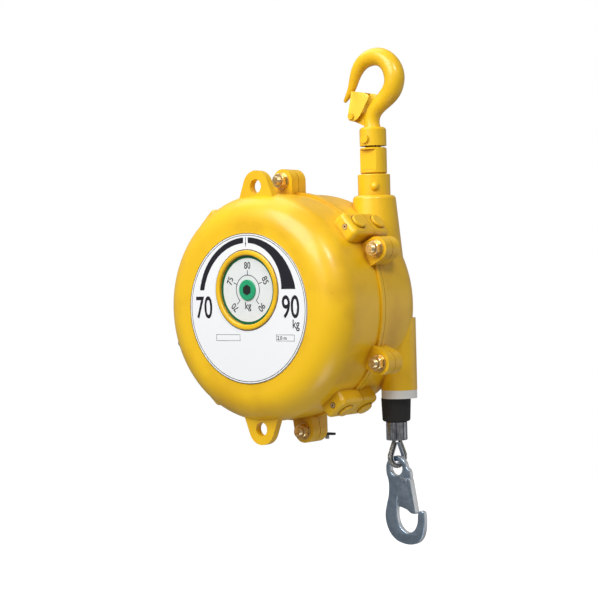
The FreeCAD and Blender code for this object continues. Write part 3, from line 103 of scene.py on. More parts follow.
# --- shader maths -------------------------------------------------------------------------------
class Signal:
    """A shader value or colour that takes part in Python expressions."""

    def __init__(self, tree: bpy.types.NodeTree, socket: bpy.types.NodeSocket) -> None:
        """Wraps an output socket of a node tree."""
        self.tree = tree
        self.socket = socket

    def _math(self, operation: str, *terms: "Signal | float") -> "Signal":
        """Adds one Math node.

        Args:
            operation: the node's operation.
            terms: its inputs in order, each a signal or a number.

        Returns:
            The node's result.
        """
        node = self.tree.nodes.new("ShaderNodeMath")
        node.operation = operation
        for entry, term in zip(node.inputs, terms):
            if isinstance(term, Signal):
                self.tree.links.new(term.socket, entry)
            else:
                entry.default_value = term
        return Signal(self.tree, node.outputs[0])

    def __add__(self, other: "Signal | float") -> "Signal":
        """Returns the sum."""
        return self._math("ADD", self, other)

    def __radd__(self, other: float) -> "Signal":
        """Returns the sum."""
        return self._math("ADD", other, self)

    def __sub__(self, other: "Signal | float") -> "Signal":
        """Returns the difference."""
        return self._math("SUBTRACT", self, other)

    def __rsub__(self, other: float) -> "Signal":
        """Returns the difference."""
        return self._math("SUBTRACT", other, self)

    def __mul__(self, other: "Signal | float") -> "Signal":
        """Returns the product."""
        return self._math("MULTIPLY", self, other)

    def __rmul__(self, other: float) -> "Signal":
        """Returns the product."""
        return self._math("MULTIPLY", other, self)

    def size(self) -> "Signal":
        """Returns the absolute value."""
        return self._math("ABSOLUTE", self)

    def largest(self, other: "Signal | float") -> "Signal":
        """Returns the larger of the two."""
        return self._math("MAXIMUM", self, other)

    def ramp(self, low: float, high: float) -> "Signal":
        """Rises smoothly from 0 to 1.

        Args:
            low: the value that gives 0.
            high: the value that gives 1, below low for a falling ramp.

        Returns:
            The eased share.
        """
        node = self.tree.nodes.new("ShaderNodeMapRange")
        node.interpolation_type = "SMOOTHSTEP"
        self.tree.links.new(self.socket, node.inputs["Value"])
        ends = (low, high, 0.0, 1.0) if low < high else (high, low, 1.0, 0.0)
        for name, value in zip(("From Min", "From Max", "To Min", "To Max"), ends):
            node.inputs[name].default_value = value
        return Signal(self.tree, node.outputs["Result"])


class Surface:
    """A material being mixed, with one Principled shader at its end."""

    def __init__(self, name: str) -> None:
        """Starts an empty material.

        Args:
            name: its name.
        """
        self.material = bpy.data.materials.new(name)
        self.material.use_nodes = True
        self.tree = self.material.node_tree
        self.tree.nodes.clear()
        self.shader = self.tree.nodes.new("ShaderNodeBsdfPrincipled")
        output = self.tree.nodes.new("ShaderNodeOutputMaterial")
        self.tree.links.new(self.shader.outputs[0], output.inputs["Surface"])
        self.place = self.node("ShaderNodeTexCoord", out="Object")

    def node(self, kind: str, settings: dict | None = None, values: dict | None = None,
             out: str | int = 0) -> Signal:
        """Adds a node.

        Args:
            kind: the node's type.
            settings: its own settings, made before its sockets are filled.
            values: its sockets' values or signals by name or number.
            out: the output that is wanted.

        Returns:
            That output.
        """
        node = self.tree.nodes.new(kind)
        for key, value in (settings or {}).items():
            setattr(node, key, value)
        for key, value in (values or {}).items():
            self._fill(node.inputs[key], value)
        return Signal(self.tree, node.outputs[out])

    def _fill(self, entry: bpy.types.NodeSocket, value: "Signal | float | Colour") -> None:
        """Links or sets one input socket.

        Args:
            entry: the socket.
            value: the signal to link, or the value to set.
        """
        if isinstance(value, Signal):
            self.tree.links.new(value.socket, entry)
        elif isinstance(value, tuple) and len(value) == 3 and entry.type == "RGBA":
            entry.default_value = (*value, 1.0)
        else:
            entry.default_value = value

    def set(self, **values: "Signal | float | Colour") -> None:
        """Fills the shader's sockets, whose names are written with underscores."""
        for name, value in values.items():
            self._fill(self.shader.inputs[name.replace("_", " ")], value)

    def noise(self, grain_mm: float, detail: float = 3.0, where: Signal | None = None) -> Signal:
        """Adds a noise.

        Args:
            grain_mm: the width of its largest grains in millimetres.
            detail: its octaves.
            where: the coordinates, or None for the object's own.

        Returns:
            Its height from 0 to 1.
        """
        return self.node("ShaderNodeTexNoise", {"noise_dimensions": "3D"},
                         {"Vector": where or self.place, "Scale": 1.0 / (grain_mm * MM),
                          "Detail": detail}, "Fac")

    def cells(self, size_mm: float, where: Signal | None = None) -> Signal:
        """Adds a cell pattern.

        Args:
            size_mm: the mean width of a cell in millimetres.
            where: the coordinates, or None for the object's own.

        Returns:
            The distance to the nearest cell's middle.
        """
        return self.node("ShaderNodeTexVoronoi", {}, {"Vector": where or self.place,
                         "Scale": 1.0 / (size_mm * MM)}, "Distance")

    def stretched(self, x: float, y: float, z: float) -> Signal:
        """Returns the object's coordinates scaled along each axis."""
        return self.node("ShaderNodeMapping", {}, {"Vector": self.place, "Scale": (x, y, z)})

    def mix(self, share: "Signal | float", first: "Signal | Colour",
            second: "Signal | Colour") -> Signal:
        """Mixes two colours.

        Args:
            share: how much of the second is in the mix.
            first: the colour at 0.
            second: the colour at 1.

        Returns:
            The mixed colour.
        """
        return self.node("ShaderNodeMix", {"data_type": "RGBA"}, {0: share, 6: first, 7: second}, 2)

    def bump(self, height: Signal, depth_mm: float, under: Signal | None = None) -> Signal:
        """Adds relief.

        Args:
            height: the relief from 0 to 1.
            depth_mm: its depth in millimetres.
            under: the normal of the relief below, if there is one.

        Returns:
            The bent normal.
        """
        values = {"Height": height, "Distance": depth_mm * MM, "Strength": 1.0}
        if under is not None:
            values["Normal"] = under
        return self.node("ShaderNodeBump", {}, values)

    def edges(self, reach_mm: float) -> Signal:
        """Finds sharp edges.

        Args:
            reach_mm: how far from an edge it eases to 0, in millimetres.

        Returns:
            1 on the edges.
        """
        rounded = self.node("ShaderNodeBevel", {"samples": 4}, {"Radius": reach_mm * MM})
        flat = self.node("ShaderNodeNewGeometry", out="Normal")
        same = self.node("ShaderNodeVectorMath", {"operation": "DOT_PRODUCT"},
                         {0: rounded, 1: flat}, "Value")
        return same.ramp(0.995, 0.90)

    def corners(self, reach_mm: float) -> Signal:
        """Returns 1 in the open and less in corners no wider than the reach."""
        return self.node("ShaderNodeAmbientOcclusion", {"samples": 8},
                         {"Distance": reach_mm * MM}, "AO")


# --- finishes -----------------------------------------------------------------------------------
@dataclass(frozen=True)
class Enamel:
    """Glossy enamel brushed over a sand casting."""

    name: str
    colour: Colour
    # deep: the deeper tone for the random drift, and the colour of the painted corner shade
    deep: Colour
    roughness: float = 0.32
    swell_mm: float = 0.30
    peel_mm: float = 0.03
    drift_mm: float = 60.0
    drift_share: float = 0.22
    corner_mm: float = 14.0
    # how far the painted corner shade darkens the enamel towards its deep colour
    corner_shade_share: float = 0.62
    fleck_mm: float = 17.0
    fleck_share: float = 0.7
    fleck: Colour = srgb(96, 66, 30)

    def make(self) -> bpy.types.Material:
        """Mixes the enamel.

        Returns:
            The material.
        """
        paint = Surface(self.name)
        drift = paint.noise(self.drift_mm, 3.0).ramp(0.38, 0.70)
        # painted shade: the occlusion mask darkens the enamel towards its deep colour in corners and
        # recesses, where shade falls
        corner = paint.corners(self.corner_mm).ramp(0.85, 0.25)
        shade = paint.mix(drift * self.drift_share, self.colour, self.deep)
        shade = paint.mix(corner * self.corner_shade_share, shade, self.deep)
        fleck = paint.cells(self.fleck_mm).ramp(0.045, 0.02) * paint.noise(30.0, 1.0).ramp(0.55, 0.62)
        shade = paint.mix(fleck * self.fleck_share, shade, self.fleck)
        swell = paint.bump(paint.noise(26.0, 2.0), self.swell_mm)
        peel = paint.bump(paint.noise(3.2, 2.0), self.peel_mm, swell)
        paint.set(Base_Color=shade, Normal=peel, IOR=1.52, Coat_Weight=0.25, Coat_Roughness=0.16,
                  Roughness=self.roughness + paint.noise(9.0, 3.0) * 0.10 + corner * 0.12)
        return paint.material


@dataclass(frozen=True)
class Metal:
    """Bare or plated metal with a fine grain."""

    name: str
    colour: Colour
    dark: Colour
    roughness: float
    grain_mm: float = 1.2
    depth_mm: float = 0.02
    patch_mm: float = 7.0
    # how far the painted corner shade darkens the metal
    painted_corner_shade: float = 0.5
    # how far edges brighten: partly rubbed wear, partly a painted highlight
    wear_and_highlight: float = 0.35
    streak: float = 0.0
    # painted highlight on faces that turn to the sides
    flank_highlight: float = 0.0
    patch_share: float = 0.55
    edge_mm: float = 0.9
    edge_dull: float = 0.6
    edge_colour: Colour = (0.80, 0.82, 0.84)
    drawn_mm: float = 2.4
    drawn_out: float = 0.04
    corner_mm: float = 4.0
    # the near-black colour of the painted corner shade
    corner_shade_colour: Colour = (0.012, 0.010, 0.008)

    def make(self) -> bpy.types.Material:
        """Mixes the metal.

        Returns:
            The material.
        """
        metal = Surface(self.name)
        patch = metal.noise(self.patch_mm, 4.0)
        shade = metal.mix(patch.ramp(0.35, 0.72) * self.patch_share, self.colour, self.dark)
        # bright edges: partly rubbed wear, partly a painted highlight standing for the studio's
        # reflection on the edges; less metallic there so that they stay bright
        edge = metal.edges(self.edge_mm) * self.wear_and_highlight
        # painted highlight: faces that do not face front or back are lightened and made less metallic,
        # as if they caught the light at the side
        if self.flank_highlight:
            facing = metal.node("ShaderNodeTexCoord", out="Normal")
            facing = metal.node("ShaderNodeSeparateXYZ", {}, {"Vector": facing}, "Y").size()
            edge = edge.largest(facing.ramp(0.75, 0.30) * self.flank_highlight)
        shade = metal.mix(edge, shade, self.edge_colour)
        if self.streak:
            along = metal.stretched(1.0, 1.0, self.drawn_out)
            drawn = metal.noise(self.drawn_mm, 3.0, along).ramp(0.40, 0.62)
            shade = metal.mix(drawn * self.streak, shade, self.dark)
        # painted shade: the occlusion mask darkens the metal towards a near-black colour in corners,
        # where shade falls
        corner = metal.corners(self.corner_mm).ramp(0.85, 0.3)
        shade = metal.mix(corner * self.painted_corner_shade, shade, self.corner_shade_colour)
        grain = metal.noise(self.grain_mm, 4.0)
        metal.set(Base_Color=shade, Metallic=1.0 - edge * self.edge_dull,
                  Normal=metal.bump(grain, self.depth_mm),
                  Roughness=self.roughness + (patch - 0.5) * 0.25 + corner * 0.2)
        return metal.material


@dataclass(frozen=True)
class Moulded:
    """Rubber, nylon or fibre out of a mould."""

    name: str
    colour: Colour
    worn: Colour
    roughness: float
    grain_mm: float = 0.9
    depth_mm: float = 0.03
    wear: float = 0.3
    shine: float = 0.5
    smear_mm: float = 14.0
    scuff_mm: float = 5.0
    scuff_flat: float = 0.35

    def make(self) -> bpy.types.Material:
        """Mixes the moulded stuff.

        Returns:
            The material.
        """
        stuff = Surface(self.name)
        smear = stuff.noise(self.smear_mm, 4.0)
        along = stuff.stretched(1.0, 1.0, self.scuff_flat)
        scuff = stuff.noise(self.scuff_mm, 5.0, along).ramp(0.55, 0.75)
        shade = stuff.mix(smear.ramp(0.4, 0.75) * self.wear, self.colour, self.worn)
        shade = stuff.mix(scuff * self.wear * 0.6, shade, self.worn)
        stuff.set(Base_Color=shade, Specular_IOR_Level=self.shine,
                  Normal=stuff.bump(stuff.noise(self.grain_mm, 3.0), self.depth_mm),
                  Roughness=self.roughness + scuff * 0.12 + smear * 0.06)
        return stuff.material


@dataclass(frozen=True)
class Ink:
    """Screen-printed ink, a little thin in places."""

    name: str
    colour: Colour
    ground: Colour
    roughness: float = 0.38
    thin_mm: float = 2.2
    thin_share: float = 0.22

    def make(self) -> bpy.types.Material:
        """Mixes the ink.

        Returns:
            The material.
        """
        ink = Surface(self.name)
        thin = ink.noise(self.thin_mm, 4.0).ramp(0.60, 0.85)
        ink.set(Base_Color=ink.mix(thin * self.thin_share, self.colour, self.ground),
                Roughness=self.roughness + thin * 0.15,
                Normal=ink.bump(ink.noise(0.8, 2.0), 0.01))
        return ink.material


class Finish(Enum):
    """Every finish on the balancer."""

    ENAMEL = Enamel("enamel_yellow", srgb(247, 197, 16), srgb(170, 96, 6))
    HOOK_ENAMEL = Enamel("enamel_hook", srgb(247, 199, 20), srgb(182, 106, 8), 0.30, 0.20, 0.05)
    NUT_ZINC = Metal("zinc_yellow", srgb(250, 222, 160), srgb(190, 146, 80), 0.30, 0.7, 0.02, 5.0,
                     painted_corner_shade=0.40, wear_and_highlight=0.5)
    HOOK_ZINC = Metal("zinc_galvanised", srgb(172, 192, 212), srgb(124, 144, 168), 0.30, 1.6, 0.03, 9.0,
                      wear_and_highlight=0.8, flank_highlight=0.75)
    SLEEVE = Metal("sleeve_pressed", srgb(196, 202, 206), srgb(76, 74, 94), 0.26, 0.9, 0.02, 6.0,
                   wear_and_highlight=0.3, streak=0.85)
    ROPE = Metal("rope_wires", srgb(176, 176, 172), srgb(84, 82, 78), 0.38, 0.5, 0.02, 3.0, 0.85)
    STEEL = Metal("steel_machined", srgb(168, 168, 166), srgb(104, 102, 98), 0.32, 0.6, 0.01, 8.0)
    SPRING = Metal("steel_spring", srgb(92, 96, 104), srgb(58, 58, 64), 0.34, 0.5, 0.01, 9.0)
    KEEPER_ZINC = Metal("zinc_keeper", srgb(170, 188, 206), srgb(124, 142, 162), 0.32, 1.2, 0.03, 6.0,
                        wear_and_highlight=0.9, flank_highlight=0.85)
    LATCH_ENAMEL = Enamel("enamel_latch", srgb(250, 214, 60), srgb(214, 160, 30), 0.30, 0.10, 0.04)
    BLACK = Metal("steel_black", srgb(38, 38, 40), srgb(20, 20, 20), 0.42, 0.8, 0.02, 6.0)
    LABEL = Moulded("label_white", srgb(203, 208, 216), srgb(184, 190, 200), 0.28, 1.4, 0.01, 0.45)
    DIAL = Moulded("dial_white", srgb(230, 234, 233), srgb(214, 220, 222), 0.30, 1.2, 0.01, 0.35)
    GREEN = Ink("dial_green", srgb(0, 128, 70), srgb(10, 100, 60), 0.32)
    # darker copy of the dial's green for the edge ring: partly its own print, partly painted shade from
    # the wall of the dial's window
    GREEN_EDGE = Ink("dial_green_edge", srgb(0, 96, 54), srgb(10, 76, 48), 0.32)
    INK = Ink("ink_black", srgb(24, 22, 34), srgb(96, 96, 108), 0.36)
    NYLON = Moulded("nylon_white", srgb(212, 220, 232), srgb(182, 190, 202), 0.42, 1.1, 0.03, 0.35)
    RUBBER = Moulded("rubber_black", srgb(3, 5, 3), srgb(12, 15, 12), 0.62, 0.8, 0.05, 0.35, 0.08)
    FIBRE = Moulded("gasket_fibre", srgb(70, 66, 58), srgb(40, 38, 34), 0.8, 0.6, 0.05, 0.5)
    ALUMINIUM = Metal("aluminium_cast", srgb(188, 190, 192), srgb(130, 132, 134), 0.42, 1.0, 0.04, 8.0)
    BRONZE = Metal("bronze_cut", srgb(196, 148, 78), srgb(128, 88, 38), 0.34, 0.8, 0.02, 6.0)
    GROOVE = Enamel("enamel_groove", srgb(112, 66, 12), srgb(64, 36, 8), 0.45)
    # painted shade: near-black for the inside of a hollow, used for the hub's socket
    DEEP = Moulded("socket_shadow", srgb(14, 20, 17), srgb(6, 10, 8), 0.6, 0.8, 0.02, 0.2)

    @property
    def material(self) -> bpy.types.Material:
        """The finish's material, made on first use."""
        return bpy.data.materials.get(self.value.name) or self.value.make()


# --- bench --------------------------------------------------------------------------------------
class Bench:
    """Modelling by operators: each call starts with nothing selected and leaves one object active."""

    @staticmethod
    def clear() -> None:
        """Leaves edit mode and deselects everything."""
        if bpy.context.object and bpy.context.object.mode != "OBJECT":
            bpy.ops.object.mode_set(mode="OBJECT")
        bpy.ops.object.select_all(action="DESELECT")

    @staticmethod
    def take(obj: bpy.types.Object) -> None:
        """Makes an object the only one selected.

        Args:
            obj: the object.
        """
        Bench.clear()
        obj.select_set(True)
        bpy.context.view_layer.objects.active = obj

    @staticmethod
    def settle(obj: bpy.types.Object) -> bpy.types.Object:
        """Moves an object's place into its mesh.

        Args:
            obj: the object.

        Returns:
            The object.
        """
        Bench.take(obj)
        bpy.ops.object.transform_apply(location=True, rotation=True, scale=True)
        return obj

    @staticmethod
    def disc(name: str, radius: float, depth: float, at: Vector, sides: int = 96,
             along: str = "Y") -> bpy.types.Object:
        """Adds a round blank.

        Args:
            name: its name.
            radius: its radius.
            depth: its thickness.
            at: its middle.
            sides: its number of sides.
            along: the axis that it stands on.

        Returns:
            The blank, settled.
        """
        Bench.clear()
        turn = {"X": (0, math.pi / 2, 0), "Y": (math.pi / 2, 0, 0), "Z": (0, 0, 0)}[along]
        bpy.ops.mesh.primitive_cylinder_add(vertices=sides, radius=radius, depth=depth, location=at,
                                            rotation=turn)
        blank = bpy.context.object
        blank.name = name
        return Bench.settle(blank)

    @staticmethod
    def cut(obj: bpy.types.Object, tool: bpy.types.Object, kind: str = "DIFFERENCE") -> bpy.types.Object:
        """Cuts an object with a tool, which is used up.

        Args:
            obj: the object.
            tool: the tool.
            kind: the boolean's operation.

        Returns:
            The object.
        """
        Bench.take(obj)
        change = obj.modifiers.new("cut", "BOOLEAN")
        change.operation = kind
        change.solver = "EXACT"
        change.object = tool
        bpy.ops.object.modifier_apply(modifier=change.name)
        bpy.data.objects.remove(tool)
        return obj

    @staticmethod
    def trim(obj: bpy.types.Object, at: Vector, normal: Vector) -> bpy.types.Object:
        """Cuts away and closes what lies beyond a plane.

        Args:
            obj: the object.
            at: a point of the plane.
            normal: its normal, on the side that goes.

        Returns:
            The object.
        """
        Bench.take(obj)
        bpy.ops.object.mode_set(mode="EDIT")
        bpy.ops.mesh.select_all(action="SELECT")
        bpy.ops.mesh.bisect(plane_co=at, plane_no=normal, use_fill=True, clear_outer=True)
        bpy.ops.object.mode_set(mode="OBJECT")
        return obj

    @staticmethod
    def plate(name: str, outline: list[tuple[float, float]], thick: float, edge: float,
              holes: tuple[list[tuple[float, float]], ...] = ()) -> bpy.types.Object:
        """Cuts a flat plate that faces the front, its middle plane through the origin.

        Args:
            name: its name.
            outline: its outline as (x, z) in millimetres.
            thick: its thickness in millimetres.
            edge: the rounding of its edges in millimetres.
            holes: the outlines of its holes.

        Returns:
            The plate as a closed mesh.
        """
        curve = bpy.data.curves.new(name, "CURVE")
        curve.dimensions = "2D"
        curve.fill_mode = "BOTH"
        curve.extrude = thick / 2 - edge
        curve.bevel_depth = edge
        curve.bevel_resolution = 2
        curve.offset = -edge
        for loop in (outline, *holes):
            spline = curve.splines.new("POLY")
            spline.points.add(len(loop) - 1)
            spline.use_cyclic_u = True
            for point, (x, z) in zip(spline.points, loop):
                point.co = (x, z, 0.0, 1.0)
        plate = bpy.data.objects.new(name, curve)
        bpy.context.collection.objects.link(plate)
        Bench.take(plate)
        bpy.ops.object.convert(target="MESH")
        plate = bpy.context.object
        bpy.ops.object.mode_set(mode="EDIT")
        bpy.ops.mesh.select_all(action="SELECT")
        bpy.ops.mesh.remove_doubles(threshold=0.0005)
        bpy.ops.mesh.normals_make_consistent(inside=False)
        bpy.ops.object.mode_set(mode="OBJECT")
        plate.data.transform(Matrix.Rotation(math.pi / 2, 4, "X") @ Matrix.Scale(MM, 4))
        return plate

    @staticmethod
    def score(obj: bpy.types.Object, at: Vector, normal: Vector) -> None:
        """Adds a line of edges where a plane meets an object.

        Args:
            obj: the object.
            at: a point of the plane.
            normal: its normal.
        """
        Bench.take(obj)
        bpy.ops.object.mode_set(mode="EDIT")
        bpy.ops.mesh.select_all(action="SELECT")
        bpy.ops.mesh.bisect(plane_co=at, plane_no=normal)
        bpy.ops.object.mode_set(mode="OBJECT")

    @staticmethod
    def soften(obj: bpy.types.Object, angle: float = 40.0) -> bpy.types.Object:
        """Shades an object smooth except at its sharp edges.

        Args:
            obj: the object.
            angle: the angle in degrees from which an edge is sharp.

        Returns:
            The object.
        """
        Bench.take(obj)
        bpy.ops.object.shade_smooth_by_angle(angle=math.radians(angle))
        return obj

    @staticmethod
    def edge_round(obj: bpy.types.Object, width: float, segments: int = 2) -> bpy.types.Object:
        """Rounds an object's sharp edges.

        Args:
            obj: the object.
            width: the width of the rounding.
            segments: its number of facets.

        Returns:
            The object.
        """
        Bench.take(obj)
        change = obj.modifiers.new("round", "BEVEL")
        change.width = width
        change.segments = segments
        change.limit_method = "ANGLE"
        change.angle_limit = math.radians(35.0)
        bpy.ops.object.modifier_apply(modifier=change.name)
        return obj

    @staticmethod
    def words(name: str, text: str, height: float, squeeze: float, at: Vector, lean: float,
              depth: float) -> bpy.types.Object:
        """Adds raised lettering that faces the front.

        Args:
            name: its name.
            text: the characters.
            height: the height of a capital or a digit.
            squeeze: its width as a share of the letter's own.
            at: its middle.
            lean: its turn to the right, in degrees.
            depth: how far it stands out.

        Returns:
            The lettering as a mesh, settled.
        """
        Bench.clear()
        bpy.ops.object.text_add(location=(0, 0, 0))
        letters = bpy.context.object
        letters.name = name
        letters.data.body = text
        letters.data.align_x = "CENTER"
        letters.data.size = 1.0
        letters.data.resolution_u = 6
        letters.data.extrude = 0.5
        letters.data.offset = 0.012
        bpy.ops.object.convert(target="MESH")
        low, high = Bench.span(letters)
        size = height / (high.y - low.y)
        middle = (low + high) / 2
        place = (Matrix.Translation(at) @ Matrix.Rotation(math.radians(lean), 4, "Y")
                 @ Matrix.Rotation(math.pi / 2, 4, "X")
                 @ Matrix.Diagonal((size * squeeze, size, depth, 1.0))
                 @ Matrix.Translation(-middle))
        letters.data.transform(place)
        return letters

    @staticmethod
    def span(obj: bpy.types.Object) -> tuple[Vector, Vector]:
        """Measures an object's own mesh.

        Args:
            obj: the object.

        Returns:
            Its lowest and highest corner.
        """
        points = [v.co for v in obj.data.vertices]
        return (Vector([min(p[i] for p in points) for i in range(3)]),
                Vector([max(p[i] for p in points) for i in range(3)]))

    @staticmethod
    def join(name: str, pieces: list[bpy.types.Object]) -> bpy.types.Object:
        """Joins objects.

        Args:
            name: the name of the whole.
            pieces: the objects.

        Returns:
            The whole.
        """
        Bench.take(pieces[0])
        for piece in pieces:
            piece.select_set(True)
        if len(pieces) > 1:
            bpy.ops.object.join()
        pieces[0].name = name
        return pieces[0]

    @staticmethod
    def copy(obj: bpy.types.Object, name: str, place: Matrix) -> bpy.types.Object:
        """Copies an object with its own mesh.

        Args:
            obj: the object.
            name: the copy's name.
            place: the matrix that moves its mesh.

        Returns:
            The copy.
        """
        twin = obj.copy()
        twin.data = obj.data.copy()
        twin.name = name
        twin.data.transform(place)
        bpy.context.collection.objects.link(twin)
        return twin

    @staticmethod
    def dress(obj: bpy.types.Object, slot: Slot, finish: Finish) -> None:
        """Gives a piece its finish.

        Args:
            obj: the piece.
            slot: not used.
            finish: its finish.
        """
        obj.data.materials.clear()
        obj.data.materials.append(finish.material)

    @staticmethod
    def hand_over(obj: bpy.types.Object, body: str, slot: Slot, finish: Finish,
                  stands_for: tuple[str, ...] = ()) -> bpy.types.Object:
        """Dresses a piece and tells the frame what it rides on.

        Args:
            obj: the piece.
            body: the CAD body that carries it.
            slot: its material slot.
            finish: its finish.
            stands_for: the CAD nodes that it replaces.

        Returns:
            The piece.
        """
        Bench.dress(obj, slot, finish)
        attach(obj, body)
        if stands_for:
            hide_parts(*stands_for)
        LOG.info("%s rides on %s, %d faces", obj.name, body, len(obj.data.polygons))
        return obj


@dataclass
class Places:
    """Where the balancer's main points lie, read from the frame."""

    case: Vector = field(init=False)
    dial: Vector = field(init=False)
    plate_y: float = field(init=False)
    dial_y: float = field(init=False)
    rope: Vector = field(init=False)

    def __post_init__(self) -> None:
        """Reads the points from the CAD nodes' boxes."""
        plate = self.corners("name_plate")
        disc = self.corners("dial_disc")
        seam = self.corners("flange_gasket")
        run = self.corners("rope_run")
        self.case = Vector(((plate[0].x + plate[1].x) / 2, seam[0].y, (plate[0].z + plate[1].z) / 2))
        self.dial = (disc[0] + disc[1]) / 2
        self.plate_y = plate[0].y
        self.dial_y = disc[0].y
        self.rope = (run[0] + run[1]) / 2

    @staticmethod
    def corners(node: str) -> tuple[Vector, Vector]:
        """Returns a CAD node's lowest and highest corner."""
        low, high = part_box(node)
        return Vector(low), Vector(high)

    def on_plate(self, x: float, z: float) -> Vector:
        """Returns the point in the label's print that far right of and above the dial's middle."""
        return Vector((self.dial.x + x, self.plate_y - FILM / 2, self.dial.z + z))

    def on_dial(self, x: float, z: float) -> Vector:
        """Returns the point in the dial's print that far right of and above its middle."""
        return Vector((self.dial.x + x, self.dial_y - FILM / 2, self.dial.z + z))


@dataclass
class LabelArt:
    """Printing on the round label: the two arcs, the mark, the load range and blank fields."""

    places: Places
    film: float = FILM
    band_top: float = 8.0 * MM
    outer_r: float = 88.0 * MM
    outer_drop: float = 14.0 * MM
    wedge_r: float = 62.1 * MM
    wedge_rise: float = 3.9 * MM
    gap: float = 4.2 * MM
    rim_line_r: float = 57.3 * MM
    edge_line_r: float = 103.2 * MM
    line: float = 0.8 * MM
    mark_stem: tuple[float, float, float] = (5.0 * MM, 0.9 * MM, 11.0 * MM)
    mark_head: tuple[float, float] = (11.5 * MM, 2.6 * MM)
    mark_shape: tuple[float, float] = (0.5, 1.6)
    box_line: float = 0.5 * MM
    boxes: tuple[tuple[float, float, float, float], ...] = (
        (-36.0, -67.0, 44.0, 9.0), (67.0, -67.0, 32.0, 9.0))
    words: tuple[tuple[str, float, float, float, float], ...] = (
        ("70", 32.0, 0.72, -79.5, -24.0), ("90", 32.0, 0.72, 77.5, -24.0),
        ("kg", 16.0, 0.80, 86.5, -49.5), ("2.0 m", 5.4, 1.0, 61.0, -67.0))

    def build(self) -> None:
        """Makes and dresses the printing."""
        art = [self.arc(-1.0, self.outer_r - self.band_top, -self.outer_drop),
               self.arc(1.0, self.wedge_r, self.wedge_rise), self.mark(),
               self.ring(self.rim_line_r, 0.0), self.ring(self.edge_line_r, self.case_drop()),
               self.ring(self.plate_r(), self.case_drop())]
        art += [self.field(*(value * MM for value in box)) for box in self.boxes]
        for text, height, squeeze, x, z in self.words:
            at = self.places.on_plate(x * MM, z * MM)
            art.append(Bench.words("label_word", text, height * MM, squeeze, at, 0.0, self.film))
        Bench.hand_over(Bench.join("label_print", art), "case", Slot.BLACK_STEEL, Finish.INK)

    def plate_r(self) -> float:
        """Returns the radius of the label's printed edge."""
        low, high = self.places.corners("name_plate")
        return (high.x - low.x) / 2 - 0.05 * MM

    def case_drop(self) -> float:
        """Returns the height of the label's middle above the dial's."""
        return self.places.case.z - self.places.dial.z

    def blank(self, name: str, radius: float, z: float, thick: float = 1.0) -> bpy.types.Object:
        """Returns a round blank on the label's face, about a point above or below the dial's middle."""
        return Bench.disc(name, radius, self.film * thick, self.places.on_plate(0.0, z), 160)

    def ring(self, radius: float, z: float) -> bpy.types.Object:
        """Returns a thin printed circle."""
        return Bench.cut(self.blank("label_ring", radius, z),
                         self.blank("tool", radius - self.line, z, 3.0))

    def arc(self, side: float, inner_r: float, inner_z: float) -> bpy.types.Object:
        """Makes one of the two black arcs.

        Args:
            side: -1 for the left arc and 1 for the right one.
            inner_r: the radius of its inner edge.
            inner_z: the height of the inner edge's middle above the dial's.

        Returns:
            The arc.
        """
        arc = Bench.cut(self.blank("label_arc", self.outer_r, -self.outer_drop),
                        self.blank("tool", inner_r, inner_z, 3.0))
        Bench.trim(arc, self.places.on_plate(side * self.gap, 0.0), Vector((-side, 0, 0)))
        return Bench.trim(arc, self.places.on_plate(0.0, 0.5 * MM), Vector((0, 0, -1)))

    def mark(self) -> bpy.types.Object:
        """Makes the mark that points down between the arcs.

        Returns:
            The mark.
        """
        top = self.outer_r - self.outer_drop
        down, wide, high = self.mark_stem
        stem = self.bar(0.0, top - down, wide, high)
        down, radius = self.mark_head
        head = Bench.disc("mark_head", radius, self.film, self.places.on_plate(0.0, top - down), 3)
        low, high = Bench.span(head)
        middle = (low + high) / 2
        flip = -1.0 if self.wide_at_foot(head, middle) else 1.0
        wide, high = self.mark_shape
        head.data.transform(Matrix.Translation(middle) @ Matrix.Diagonal((wide, 1.0, flip * high, 1.0))
                            @ Matrix.Translation(-middle))
        if flip < 0:
            head.data.flip_normals()
        return Bench.join("label_mark", [stem, head])

    @staticmethod
    def wide_at_foot(obj: bpy.types.Object, middle: Vector) -> bool:
        """Returns whether more corners lie below the middle than above it."""
        return sum(v.co.z < middle.z for v in obj.data.vertices) > len(obj.data.vertices) / 2

    def bar(self, x: float, z: float, wide: float, high: float, thick: float = 1.0) -> bpy.types.Object:
        """Makes a flat printed bar.

        Args:
            x: its middle, right of the dial's.
            z: its middle, above the dial's.
            wide: its width.
            high: its height.
            thick: its thickness in films.

        Returns:
            The bar.
        """
        Bench.clear()
        bpy.ops.mesh.primitive_cube_add(size=1.0, location=self.places.on_plate(x, z),
                                        scale=(wide, self.film * thick, high))
        return Bench.settle(bpy.context.object)

    def field(self, x: float, z: float, wide: float, high: float) -> bpy.types.Object:
        """Makes the outline of an empty field.

        Args:
            x: its middle, right of the dial's.
            z: its middle, above the dial's.
            wide: its width.
            high: its height.

        Returns:
            The outline.
        """
        inset = 2 * self.box_line
        return Bench.cut(self.bar(x, z, wide, high), self.bar(x, z, wide - inset, high - inset, 3.0))


